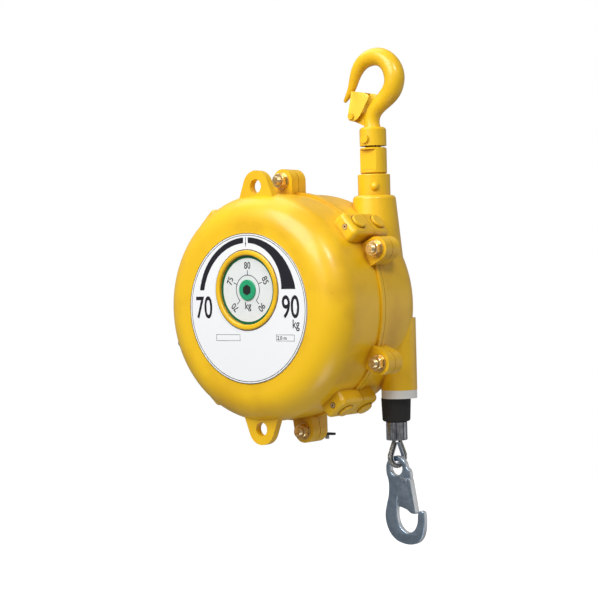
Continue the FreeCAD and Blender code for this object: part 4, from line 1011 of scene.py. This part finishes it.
@dataclass
class DialArt:
    """Printing on the dial: green edge, scale circle with five marks and their loads."""

    places: Places
    film: float = FILM
    green_r: tuple[float, float] = (48.5 * MM, 44.8 * MM)
    scale_r: float = 21.0 * MM
    line: float = 1.0 * MM
    tick: float = 7.0 * MM
    number_r: float = 34.6 * MM
    number_h: float = 9.8 * MM
    step_deg: float = 67.5
    socket_across: float = 13.6 * MM
    socket_sink: float = 1.0 * MM
    unit: tuple[float, float] = (-23.5 * MM, 13.0 * MM)
    loads: tuple[str, ...] = ("70", "75", "80", "85", "90")

    def build(self) -> None:
        """Makes and dresses the printing."""
        outer_r, inner_r = self.green_r
        edge = Bench.cut(self.blank("dial_edge", outer_r), self.blank("tool", inner_r, 3.0))
        Bench.hand_over(edge, "dial", Slot.DIAL_GREEN, Finish.GREEN_EDGE)
        art = [self.circle()]
        for index, load in enumerate(self.loads):
            angle = (index - (len(self.loads) - 1) / 2) * self.step_deg
            art.append(self.at_angle(self.tick_bar(), angle))
            away = math.radians(angle)
            at = self.places.on_dial(self.number_r * math.sin(away), self.number_r * math.cos(away))
            art.append(Bench.words("dial_number", load, self.number_h, 0.85, at, angle, self.film))
        z, high = self.unit
        at = self.places.on_dial(0.0, z)
        art.append(Bench.words("dial_unit", "kg", high, 0.9, at, 0.0, self.film))
        Bench.hand_over(Bench.join("dial_print", art), "dial", Slot.BLACK_STEEL, Finish.INK)
        # painted shade: a near-black hexagon sunk into the hub's face stands for the shade inside its
        # socket
        hub = self.places.corners("dial_hub")
        middle = Vector(((hub[0].x + hub[1].x) / 2, hub[0].y + self.socket_sink / 2,
                         (hub[0].z + hub[1].z) / 2))
        corner_r = self.socket_across / math.sqrt(3)
        socket = Bench.disc("dial_socket", corner_r, self.socket_sink + self.film, middle, 6)
        Bench.hand_over(socket, "dial", Slot.BLACK_STEEL, Finish.DEEP)

    def blank(self, name: str, radius: float, thick: float = 1.0) -> bpy.types.Object:
        """Returns a round blank on the dial's face."""
        return Bench.disc(name, radius, self.film * thick, self.places.on_dial(0, 0), 128)

    def at_angle(self, obj: bpy.types.Object, angle: float) -> bpy.types.Object:
        """Turns a piece about the dial's middle.

        Args:
            obj: the piece.
            angle: the turn to the right in degrees.

        Returns:
            The piece.
        """
        middle = self.places.on_dial(0, 0)
        obj.data.transform(Matrix.Translation(middle) @ Matrix.Rotation(math.radians(angle), 4, "Y")
                           @ Matrix.Translation(-middle))
        return obj

    def tick_bar(self) -> bpy.types.Object:
        """Makes the upright mark above the dial's middle.

        Returns:
            The mark.
        """
        Bench.clear()
        at = self.places.on_dial(0.0, self.scale_r + self.tick / 2)
        bpy.ops.mesh.primitive_cube_add(size=1.0, location=at, scale=(self.line, self.film, self.tick))
        return Bench.settle(bpy.context.object)

    def circle(self) -> bpy.types.Object:
        """Makes the scale's circle, open between the last and the first mark.

        Returns:
            The circle.
        """
        ring = Bench.cut(self.blank("scale", self.scale_r + self.line / 2),
                         self.blank("tool", self.scale_r - self.line / 2, 3.0))
        Bench.clear()
        side = self.scale_r * math.sqrt(2)
        bpy.ops.mesh.primitive_cube_add(size=1.0, location=self.places.on_dial(0.0, -self.scale_r),
                                        rotation=(0, math.radians(45), 0),
                                        scale=(side, self.film * 4, side))
        return Bench.cut(ring, Bench.settle(bpy.context.object))


@dataclass
class Fasteners:
    """Flange bolts with cut threads and chamfered heads, and their nuts."""

    places: Places
    thread_r: float = 5.98 * MM
    root_r: float = 5.1 * MM
    pitch: float = 1.75 * MM
    across: float = 19.0 * MM
    head_h: float = 9.0 * MM
    chamfer: float = 1.3 * MM
    plain: float = 20.0 * MM
    sunk: float = 2.0 * MM
    play: float = 0.02 * MM
    apart: float = 30.0 * MM

    def build(self) -> None:
        """Makes one bolt and one nut and copies them to every lug."""
        low, high = self.places.corners("flange_bolts")
        nut_low, nut_high = self.places.corners("flange_nuts")
        bolt = self.bolt(low.y, high.y)
        nut = self.nut(nut_low.y, nut_high.y)
        spots = self.spots()
        for kind, blank in (("flange_bolts", bolt), ("flange_nuts", nut)):
            copies = [Bench.copy(blank, kind, Matrix.Translation(spot)) for spot in spots]
            bpy.data.objects.remove(blank)
            whole = Bench.soften(Bench.join(kind + "_cut", copies), 30.0)
            Bench.hand_over(whole, "case", Slot.YELLOW_ZINC, Finish.NUT_ZINC, (kind,))

    def spots(self) -> list[Vector]:
        """Reads the bolts' places from the washers.

        Returns:
            The bolts' axes.
        """
        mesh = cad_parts["flange_washers"].data
        groups: list[list[Vector]] = []
        for vertex in mesh.vertices:
            spot = Vector((vertex.co.x, 0.0, vertex.co.z))
            home = next((g for g in groups if (g[0] - spot).length < self.apart), None)
            if home is None:
                groups.append([spot])
            else:
                home.append(spot)
        spots = []
        for group in groups:
            xs, zs = [p.x for p in group], [p.z for p in group]
            spots.append(Vector(((min(xs) + max(xs)) / 2, 0.0, (min(zs) + max(zs)) / 2)))
        return spots

    def hexagon(self, y0: float, y1: float) -> bpy.types.Object:
        """Makes a hexagon along Y about the origin, chamfered at both ends.

        Args:
            y0: its near end.
            y1: its far end.

        Returns:
            The hexagon.
        """
        corner = self.across / math.sqrt(3)
        blank = Bench.disc("hexagon", corner, y1 - y0, Vector((0, (y0 + y1) / 2, 0)), 6)
        round_tool = Bench.disc("tool", corner * 1.002, y1 - y0, Vector((0, (y0 + y1) / 2, 0)), 96)
        Bench.edge_round(round_tool, self.chamfer, 1)
        return Bench.cut(blank, round_tool, "INTERSECT")

    def thread(self, y0: float, y1: float) -> bpy.types.Object:
        """Makes a threaded rod along Y from rings of crest and root.

        Args:
            y0: its free end.
            y1: its far end.

        Returns:
            The rod about the origin, closed at both ends.
        """
        Bench.clear()
        bpy.ops.mesh.primitive_circle_add(vertices=32, radius=self.root_r, fill_type="NGON",
                                          location=(0, y0, 0), rotation=(math.pi / 2, 0, 0))
        rod = Bench.settle(bpy.context.object)
        Bench.take(rod)
        bpy.ops.object.mode_set(mode="EDIT")
        bpy.ops.mesh.select_all(action="SELECT")
        steps = int((y1 - y0) / (self.pitch / 2))
        for step in range(steps):
            bpy.ops.mesh.extrude_region_move(TRANSFORM_OT_translate={"value": (0, self.pitch / 2, 0)})
            share = self.thread_r / self.root_r if step % 2 == 0 else self.root_r / self.thread_r
            bpy.ops.transform.resize(value=(share, 1.0, share),
                                     center_override=(0, y0 + (step + 1) * self.pitch / 2, 0))
        bpy.ops.mesh.select_all(action="SELECT")
        bpy.ops.mesh.normals_make_consistent(inside=False)
        bpy.ops.object.mode_set(mode="OBJECT")
        return rod

    def bolt(self, y0: float, y1: float) -> bpy.types.Object:
        """Makes a bolt about the origin.

        Args:
            y0: its tail.
            y1: its head's far face.

        Returns:
            The bolt.
        """
        under = y1 - self.head_h
        head = self.hexagon(under, y1)
        rod = self.thread(y0, under - self.plain)
        shank = Bench.disc("shank", self.thread_r, self.plain + self.sunk,
                           Vector((0, under - self.plain / 2, 0)), 32)
        return Bench.join("bolt", [head, rod, shank])

    def nut(self, y0: float, y1: float) -> bpy.types.Object:
        """Makes a nut about the origin.

        Args:
            y0: its near face.
            y1: its far face.

        Returns:
            The nut.
        """
        hole = Bench.disc("tool", self.thread_r + self.play, (y1 - y0) * 2,
                          Vector((0, (y0 + y1) / 2, 0)), 32)
        return Bench.cut(self.hexagon(y0, y1), hole)


def smooth(points: tuple[tuple[float, float], ...], steps: int = 5) -> list[tuple[float, float]]:
    """Runs a closed smooth line through points.

    Args:
        points: the points in order.
        steps: how many steps lead from each point to the next.

    Returns:
        The points of the line.
    """
    line = []
    count = len(points)
    for index in range(count):
        a, b, c, d = (points[(index + shift) % count] for shift in (-1, 0, 1, 2))
        for step in range(steps):
            t = step / steps
            line.append(tuple(0.5 * (2 * b[i] + (c[i] - a[i]) * t
                                     + (2 * a[i] - 5 * b[i] + 4 * c[i] - d[i]) * t ** 2
                                     + (3 * b[i] - a[i] - 3 * c[i] + d[i]) * t ** 3) for i in (0, 1)))
    return line


@dataclass
class JointLines:
    """Dark joint lines round the pads' plugs and set screws."""

    places: Places
    pad_r: float = 182.0 * MM
    screw_circle: float = 172.0 * MM
    plug_r: float = 11.0 * MM
    screw_r: float = 3.4 * MM
    gap: float = 1.0 * MM
    thick: float = 0.3 * MM
    under: float = 0.1 * MM
    screw_sunk: float = 0.5 * MM
    angles: tuple[float, ...] = (50.0, 143.0, 223.0, 317.0)

    def build(self) -> None:
        """Makes one ring of each kind and copies it to every pad."""
        plugs = self.places.corners("boss_plugs")
        screws = self.places.corners("boss_set_screws")
        case = self.places.case
        plug, screw = self.ring(self.plug_r, "Z"), self.ring(self.screw_r, "Y")
        rings = []
        for angle in self.angles:
            turn = Matrix.Rotation(math.radians(angle), 4, "Y")
            for y in (plugs[0].y + self.plug_r, plugs[1].y - self.plug_r):
                place = Matrix.Translation((case.x, y, case.z)) @ turn
                place @= Matrix.Translation((0, 0, self.pad_r))
                rings.append(Bench.copy(plug, "plug_ring", place))
            place = Matrix.Translation((case.x, screws[0].y + self.screw_sunk, case.z)) @ turn
            place @= Matrix.Translation((0, 0, self.screw_circle))
            rings.append(Bench.copy(screw, "screw_ring", place))
        bpy.data.objects.remove(plug)
        bpy.data.objects.remove(screw)
        Bench.hand_over(Bench.join("joint_lines", rings), "case", Slot.YELLOW_ENAMEL, Finish.GROOVE)

    def ring(self, radius: float, along: str) -> bpy.types.Object:
        """Makes a flat ring about the origin.

        Args:
            radius: the radius that it goes round.
            along: the axis that it stands on.

        Returns:
            The ring, a gap wide.
        """
        blank = Bench.disc("ring", radius + self.gap, self.thick, Vector(), 64, along)
        tool = Bench.disc("tool", radius - self.under, 4 * self.thick, Vector(), 64, along)
        return Bench.cut(blank, tool)


@dataclass
class SnapHook:
    """Galvanised snap hook: forged flat body with its eye, and the folded keeper."""

    places: Places
    eye_r: float = 18.0
    hole_r: float = 10.4
    body_t: float = 8.4
    body_edge: float = 1.5
    keeper_t: float = 10.8
    sheet: float = 1.0
    keeper_edge: float = 0.7
    pivot: tuple[float, float] = (15.0, -19.0)
    pivot_r: float = 2.55
    web_share: float = 1.4
    open_back: float = 6.0
    open_end: float = 5.0
    open_from: tuple[float, float] = (-40.0, -30.0)
    outside: tuple[tuple[float, float], ...] = (
        (-17.4, -8.0), (-14.6, -18.0), (-13.8, -28.4), (-15.0, -40.8), (-18.4, -53.2), (-21.0, -65.6),
        (-20.6, -76.0), (-17.4, -86.5), (-11.2, -96.7), (-0.5, -104.8), (13.8, -108.6), (26.5, -108.2),
        (36.2, -104.2), (43.0, -96.0), (46.1, -85.0), (47.0, -72.0), (46.2, -62.5), (43.5, -59.4),
        (39.5, -59.2), (36.4, -61.4), (35.2, -66.0), (34.2, -77.0), (28.6, -87.4), (18.3, -92.0),
        (8.4, -87.6), (2.2, -79.4), (-0.6, -68.0), (-0.4, -56.0), (1.0, -44.0), (4.6, -33.0),
        (10.0, -27.0), (17.0, -25.2), (21.6, -23.0), (23.4, -15.0), (24.2, -8.0), (22.0, -1.5))
    keeper: tuple[tuple[float, float], ...] = (
        (7.5, -12.6), (22.6, -13.6), (24.6, -17.0), (32.6, -62.0), (31.4, -64.2), (25.0, -63.4),
        (17.0, -58.0), (8.4, -55.4), (3.2, -54.6), (2.0, -40.0), (3.4, -22.0))

    def build(self) -> None:
        """Makes and dresses the body and the keeper."""
        corner = self.places.corners("snap_hook")
        eye = Vector((self.places.rope.x, (corner[0].y + corner[1].y) / 2,
                      corner[1].z - self.eye_r * MM))
        crown = [(self.eye_r * math.cos(math.radians(a)), self.eye_r * math.sin(math.radians(a)))
                 for a in range(8, 192, 16)]
        body = Bench.plate("snap_body", smooth(self.outside + tuple(crown), 4), self.body_t,
                           self.body_edge, (self.round_hole((0.0, 0.0), self.hole_r),
                                            self.round_hole(self.pivot, self.pivot_r)))
        body.data.transform(Matrix.Translation(eye))
        Bench.hand_over(Bench.soften(body, 35.0), "snap", Slot.ZINC_BRIGHT, Finish.HOOK_ZINC,
                        ("snap_hook",))
        keeper = self.fold(eye)
        Bench.hand_over(keeper, "gate", Slot.ZINC_BRIGHT, Finish.KEEPER_ZINC, ("snap_gate",))

    @staticmethod
    def round_hole(middle: tuple[float, float], radius: float,
                   sides: int = 40) -> list[tuple[float, float]]:
        """Returns the outline of a round hole."""
        turns = [2 * math.pi * index / sides for index in range(sides)]
        return [(middle[0] + radius * math.cos(a), middle[1] + radius * math.sin(a)) for a in turns]

    def fold(self, eye: Vector) -> bpy.types.Object:
        """Folds the keeper: two cheeks joined by a web along their outer edge.

        Args:
            eye: the middle of the hook's eye.

        Returns:
            The keeper.
        """
        hole = self.round_hole(self.pivot, self.pivot_r)
        keeper = Bench.plate("snap_keeper", list(self.keeper), self.keeper_t, self.keeper_edge, (hole,))
        inside = self.keeper_t - 2 * self.sheet
        low, high = self.open_from
        inner = [(x - self.sheet * self.web_share, z) for x, z in self.keeper]
        wide = [(x - self.open_back, z - self.open_end * (z < low) + self.open_end * (z > high))
                for x, z in self.keeper]
        for outline in (inner, wide):
            keeper = Bench.cut(keeper, Bench.plate("tool", outline, inside, 0.0))
        keeper.data.transform(Matrix.Translation(eye))
        return Bench.soften(keeper, 30.0)


@dataclass
class HookLatch:
    """Folded sheet latch with two cheeks pinched together at its nose."""

    places: Places
    half: float = 14.4
    sheet: float = 1.4
    nose_half: float = 9.2
    edge: float = 0.4
    hole_r: float = 3.05
    web_play: float = 0.4
    scores: tuple[int, ...] = tuple(range(-2, 15, 2))
    pinch_x: tuple[float, float] = (14.0, 16.0)
    pinch_z: tuple[float, float] = (10.0, 18.0)
    outline: tuple[tuple[float, float], ...] = (
        (-3.6, 37.0), (2.0, 35.6), (14.0, 33.8), (22.0, 33.0), (30.5, 28.6), (31.5, 26.0), (15.0, 0.0),
        (8.0, -5.4), (2.0, -7.2), (-4.4, -5.6), (-6.6, 0.0), (-5.6, 8.0), (-4.8, 22.0))
    web: tuple[tuple[float, float], ...] = ((-3.8, 37.2), (14.0, 34.2), (13.8, 32.6), (-3.8, 35.4))

    def build(self) -> None:
        """Makes and dresses the latch."""
        pin = self.places.corners("latch_pin")
        pivot = (pin[0] + pin[1]) / 2
        hole = SnapHook.round_hole((0.0, 0.0), self.hole_r)
        pieces = []
        for side in (-1.0, 1.0):
            cheek = self.scored("latch_cheek", self.outline, self.sheet, self.edge, (hole,))
            cheek.data.transform(Matrix.Translation((0, side * (self.half - self.sheet / 2) * MM, 0)))
            pieces.append(cheek)
        web = self.scored("latch_web", self.web, 2 * self.half - self.web_play, 0.0)
        latch = Bench.join("latch_sheet", pieces + [web])
        for vertex in latch.data.vertices:
            vertex.co.y *= self.pinch(vertex.co.x / MM, vertex.co.z / MM)
        latch.data.transform(Matrix.Translation(pivot))
        Bench.hand_over(Bench.soften(latch, 30.0), "latch", Slot.YELLOW_ENAMEL, Finish.LATCH_ENAMEL,
                        ("hook_latch",))

    def scored(self, name: str, outline: tuple[tuple[float, float], ...], thick: float, edge: float,
               holes: tuple[list[tuple[float, float]], ...] = ()) -> bpy.types.Object:
        """Cuts a plate with lines of edges across it, along which it can bend.

        Args:
            name: its name.
            outline: its outline as (x, z) in millimetres.
            thick: its thickness in millimetres.
            edge: the rounding of its edges in millimetres.
            holes: the outlines of its holes.

        Returns:
            The plate.
        """
        plate = Bench.plate(name, list(outline), thick, edge, holes)
        for x in self.scores:
            Bench.score(plate, Vector((x * MM, 0, 0)), Vector((1, 0, 0)))
        return plate

    def pinch(self, x: float, z: float) -> float:
        """Works out how far the cheeks are pinched together.

        Args:
            x: the distance in front of the pivot, in millimetres.
            z: the height above it.

        Returns:
            The share of its width that the latch keeps there.
        """
        across = (self.pinch_x[0] - x) / self.pinch_x[1]
        upward = (z - self.pinch_z[0]) / self.pinch_z[1]
        near = min(max(across, 0.0), 1.0) * min(max(upward, 0.0), 1.0)
        return 1.0 - near * near * (3.0 - 2.0 * near) * (1.0 - self.nose_half / self.half)


@dataclass
class RopeRun:
    """The rope that leaves the case and the loop pressed into its end."""

    places: Places
    rope_r: float = 3.0
    loop_r: float = 13.5
    neck: float = 4.6
    yaw: float = 20.0
    loop_lay: float = 27.0
    run_lay: float = 39.0
    travel: float = 2000.0
    loop_steps: int = 150
    arc_steps: int = 48
    steps_each_turn: int = 8

    def build(self) -> None:
        """Makes and dresses both stretches."""
        rope = StrandedRope(self.rope_r * MM)
        low, high = self.places.corners("rope_loop")
        drop = (high.z - low.z) / MM - self.rope_r - self.loop_r
        line = self.loop(drop)
        x, y = self.places.rope.x, self.places.rope.y
        middle = Vector((x, y, low.z + (self.rope_r + self.loop_r) * MM))
        turn = Matrix.Rotation(math.radians(90.0 - self.yaw), 4, "Z")
        line = [middle + turn @ point for point in line]
        length = sum((b - a).length for a, b in zip(line, line[1:]))
        loop = rope.lay("rope_loop_laid", rope.evenly(line, self.loop_steps),
                        length / (self.loop_lay * MM))
        Bench.hand_over(loop, "rope_end", Slot.WIRE_ROPE, Finish.ROPE, ("rope_loop",))
        low, high = self.places.corners("rope_run")
        turns = self.travel / self.run_lay
        steps = int(turns * self.steps_each_turn)
        heights = [0.5 - math.sin(math.asin(1.0 - 2.0 * k / steps) / 3.0) for k in range(steps + 1)]
        line = [Vector((x, y, high.z + (low.z - high.z) * h)) for h in heights]
        run = StrandedRope(self.rope_r * MM, sides=0).lay("rope_run_laid", line, turns)
        Bench.dress(run, Slot.WIRE_ROPE, Finish.ROPE)
        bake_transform(run)
        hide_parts("rope_run")

    def loop(self, drop: float) -> list[Vector]:
        """Draws the loop's line from neck to neck, in its own plane.

        Args:
            drop: the height of the neck above the lower centre, in millimetres.

        Returns:
            Points of the line about the lower centre.
        """
        reach = math.hypot(self.neck, drop)
        touch = math.atan2(drop, self.neck) - math.acos(self.loop_r / reach)
        arc = [touch - (math.pi + 2 * touch) * k / self.arc_steps for k in range(self.arc_steps + 1)]
        points = [(self.neck, drop)]
        points += [(self.loop_r * math.cos(a), self.loop_r * math.sin(a)) for a in arc]
        points.append((-self.neck, drop))
        return [Vector((px * MM, 0.0, pz * MM)) for px, pz in points]


@dataclass
class StrandedRope:
    """Six-strand wire rope laid along a line."""

    rope_r: float
    strands: int = 6
    sides: int = 1
    strand_share: float = 1.0 / 3.0
    slack: float = 0.99

    def lay(self, name: str, line: list[Vector], turns: float) -> bpy.types.Object:
        """Lays strands around a line.

        Args:
            name: the piece's name.
            line: points along the rope's middle, one for each step.
            turns: how often each strand goes round.

        Returns:
            The rope as one mesh.
        """
        across = self.across(line)
        strand_r = self.rope_r * self.strand_share
        steps = len(line) - 1
        wires = [line]
        for strand in range(self.strands):
            path = []
            for index, (side, other) in enumerate(across):
                angle = 2 * math.pi * (turns * index / steps + strand / self.strands)
                out = (self.rope_r - strand_r) * (side * math.cos(angle) + other * math.sin(angle))
                path.append(line[index] + out)
            wires.append(path)
        curve = bpy.data.curves.new(name, "CURVE")
        curve.dimensions = "3D"
        curve.bevel_depth = strand_r * self.slack
        curve.bevel_resolution = self.sides
        curve.use_fill_caps = True
        for path in wires:
            spline = curve.splines.new("POLY")
            spline.points.add(len(path) - 1)
            for point, place in zip(spline.points, path):
                point.co = (*place, 1.0)
        rope = bpy.data.objects.new(name, curve)
        bpy.context.collection.objects.link(rope)
        Bench.take(rope)
        bpy.ops.object.convert(target="MESH")
        return Bench.soften(bpy.context.object, 60.0)

    @staticmethod
    def evenly(line: list[Vector], steps: int) -> list[Vector]:
        """Spaces points evenly along a line.

        Args:
            line: the line.
            steps: the number of steps.

        Returns:
            The points.
        """
        reach = [0.0]
        for a, b in zip(line, line[1:]):
            reach.append(reach[-1] + (b - a).length)
        places = []
        segment = 0
        for index in range(steps + 1):
            want = reach[-1] * index / steps
            while segment < len(line) - 2 and reach[segment + 1] < want:
                segment += 1
            share = (want - reach[segment]) / (reach[segment + 1] - reach[segment])
            places.append(line[segment].lerp(line[segment + 1], min(share, 1.0)))
        return places

    @staticmethod
    def across(line: list[Vector]) -> list[tuple[Vector, Vector]]:
        """Finds two directions across a line at each point, which do not twist.

        Args:
            line: the line.

        Returns:
            The pairs of directions.
        """
        directions = []
        side = None
        last = len(line) - 1
        for index in range(last + 1):
            ahead = (line[min(index + 1, last)] - line[max(index - 1, 0)]).normalized()
            if side is None:
                side = ahead.orthogonal().normalized()
            side = (side - ahead * side.dot(ahead)).normalized()
            directions.append((side, ahead.cross(side)))
        return directions


@dataclass(frozen=True)
class Lamp:
    """A soft square light: its place from the case along the view, its width and its level."""

    name: str
    right: float
    up: float
    near: float
    size: float
    level: float


@dataclass
class Studio:
    """Camera, floor and soft lights."""

    places: Places
    azimuth: float = 37.96
    tilt: float = 1.02
    roll: float = 1.44
    reach: float = 2.540
    lens: float = 105.5
    aside: float = 9.92 * MM
    above: float = 10.15 * MM
    lamps: tuple[Lamp, ...] = (
        Lamp("key", -1.15, 1.35, 1.25, 1.5, 0.92), Lamp("glow", 0.50, 1.30, 1.45, 0.36, 0.24),
        Lamp("low", 0.12, -0.50, 0.36, 0.24, 0.09), Lamp("top", -0.45, 1.50, -0.50, 1.3, 0.30),
        Lamp("side", 1.45, -0.25, -0.25, 0.9, 0.05))
    floor_size: float = 30.0
    floor_drop: float = 2.12
    floor_grain_mm: float = 400.0
    floor_white: float = 0.97
    soft: tuple[float, float, float, float] = (0.33, 0.32, 0.31, 1.0)

    def build(self) -> None:
        """Sets up the whole studio."""
        self.camera()
        self.floor()
        self.world()
        view = self.axes()
        for lamp in self.lamps:
            self.hang(lamp, view)
        bpy.context.scene.view_settings.view_transform = "Standard"

    def axes(self) -> tuple[Vector, Vector, Vector]:
        """Works out the view's directions, level with the floor.

        Returns:
            Right, up and forward.
        """
        turn, tilt = math.radians(self.azimuth), math.radians(self.tilt)
        level = math.cos(tilt)
        ahead = Vector((-math.sin(turn) * level, math.cos(turn) * level, -math.sin(tilt)))
        right = Vector((math.cos(turn), math.sin(turn), 0))
        return right, right.cross(ahead), ahead

    def camera(self) -> None:
        """Places the camera."""
        right, up, ahead = self.axes()
        spin = math.radians(self.roll)
        aim = self.places.case + right * self.aside + up * self.above
        data = bpy.data.cameras.new("camera")
        data.lens = self.lens
        data.sensor_width = 36.0
        data.clip_end = 100.0
        eye = bpy.data.objects.new("camera", data)
        bpy.context.collection.objects.link(eye)
        across = right * math.cos(spin) - up * math.sin(spin)
        upward = right * math.sin(spin) + up * math.cos(spin)
        turn = Matrix((across, upward, -ahead)).transposed()
        eye.matrix_world = Matrix.Translation(aim - ahead * self.reach) @ turn.to_4x4()
        bpy.context.scene.camera = eye

    def hang(self, lamp: Lamp, view: tuple[Vector, Vector, Vector]) -> None:
        """Hangs a lamp, aimed at the case.

        Args:
            lamp: the lamp.
            view: the view's directions.
        """
        place = self.places.case + view[0] * lamp.right + view[1] * lamp.up - view[2] * lamp.near
        aim = self.places.case - place
        data = bpy.data.lights.new(lamp.name, "AREA")
        data.size = lamp.size
        data.energy = lamp.level * math.pi ** 2 * aim.length_squared
        light = bpy.data.objects.new(lamp.name, data)
        bpy.context.collection.objects.link(light)
        turn = aim.to_track_quat("-Z", "Y").to_matrix().to_4x4()
        light.matrix_world = Matrix.Translation(place) @ turn

    def floor(self) -> None:
        """Lays the pale floor below the balancer."""
        Bench.clear()
        height = CAD_BOX[0][2] - self.floor_drop
        bpy.ops.mesh.primitive_plane_add(size=self.floor_size, location=(0, 0, height))
        floor = Bench.settle(bpy.context.object)
        floor.name = "floor"
        card = Surface("studio_white")
        seen = card.node("ShaderNodeLightPath", out="Is Camera Ray")
        cloud = card.noise(self.floor_grain_mm, 1.0)
        card.set(Base_Color=card.mix(cloud, (0.60, 0.60, 0.61), (0.62, 0.62, 0.63)),
                 Roughness=0.9, Emission_Strength=self.floor_white,
                 Emission_Color=card.mix(seen, (0.0, 0.0, 0.0), (1.0, 1.0, 1.0)))
        floor.data.materials.append(card.material)

    def world(self) -> None:
        """Makes the surroundings white to the camera and softer as a light."""
        world = bpy.data.worlds.new("studio")
        bpy.context.scene.world = world
        world.use_nodes = True
        nodes, links = world.node_tree.nodes, world.node_tree.links
        back = nodes["Background"]
        path = nodes.new("ShaderNodeLightPath")
        mix = nodes.new("ShaderNodeMix")
        mix.data_type = "RGBA"
        mix.inputs[6].default_value = self.soft
        mix.inputs[7].default_value = (1.0, 1.0, 1.0, 1.0)
        links.new(path.outputs["Is Camera Ray"], mix.inputs[0])
        links.new(mix.outputs[2], back.inputs["Color"])


CAD_FINISHES: dict[Finish, str] = {
    Finish.ENAMEL: "front_cover rear_case tower_collar collar_pin boss_plugs",
    Finish.HOOK_ENAMEL: "swivel_block suspension_hook knuckle_pin hook_latch latch_pin",
    Finish.NUT_ZINC: "flange_bolts flange_nuts flange_washers boss_set_screws shaft_nut",
    Finish.HOOK_ZINC: "snap_hook snap_gate gate_pin thimble",
    Finish.ROPE: "wound_rope rope_lead rope_run rope_loop",
    Finish.ALUMINIUM: "rope_drum spring_case", Finish.SPRING: "mainspring latch_spring",
    Finish.LABEL: "name_plate", Finish.DIAL: "dial_disc", Finish.GREEN: "dial_hub",
    Finish.NYLON: "outlet_guide", Finish.RUBBER: "rope_bumper", Finish.SLEEVE: "rope_sleeve",
    Finish.FIBRE: "flange_gasket", Finish.BLACK: "lock_lever", Finish.BRONZE: "worm_wheel",
}


def dress_nodes() -> None:
    """Gives every CAD node its finish; what is not named is machined steel."""
    by_node = {name: finish for finish, names in CAD_FINISHES.items() for name in names.split()}
    for name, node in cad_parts.items():
        finish = by_node.get(name, Finish.STEEL)
        if not node.material_slots:
            node.data.materials.append(None)
        for entry in node.material_slots:
            entry.link = "OBJECT"
            entry.material = finish.material


def main() -> None:
    """Builds the balancer's looks in order."""
    logging.basicConfig(level=logging.INFO, format="%(name)s: %(message)s")
    places = Places()
    dress_nodes()
    LabelArt(places).build()
    DialArt(places).build()
    Fasteners(places).build()
    JointLines(places).build()
    HookLatch(places).build()
    SnapHook(places).build()
    RopeRun(places).build()
    Studio(places).build()


if __name__ == "__main__":
    main()
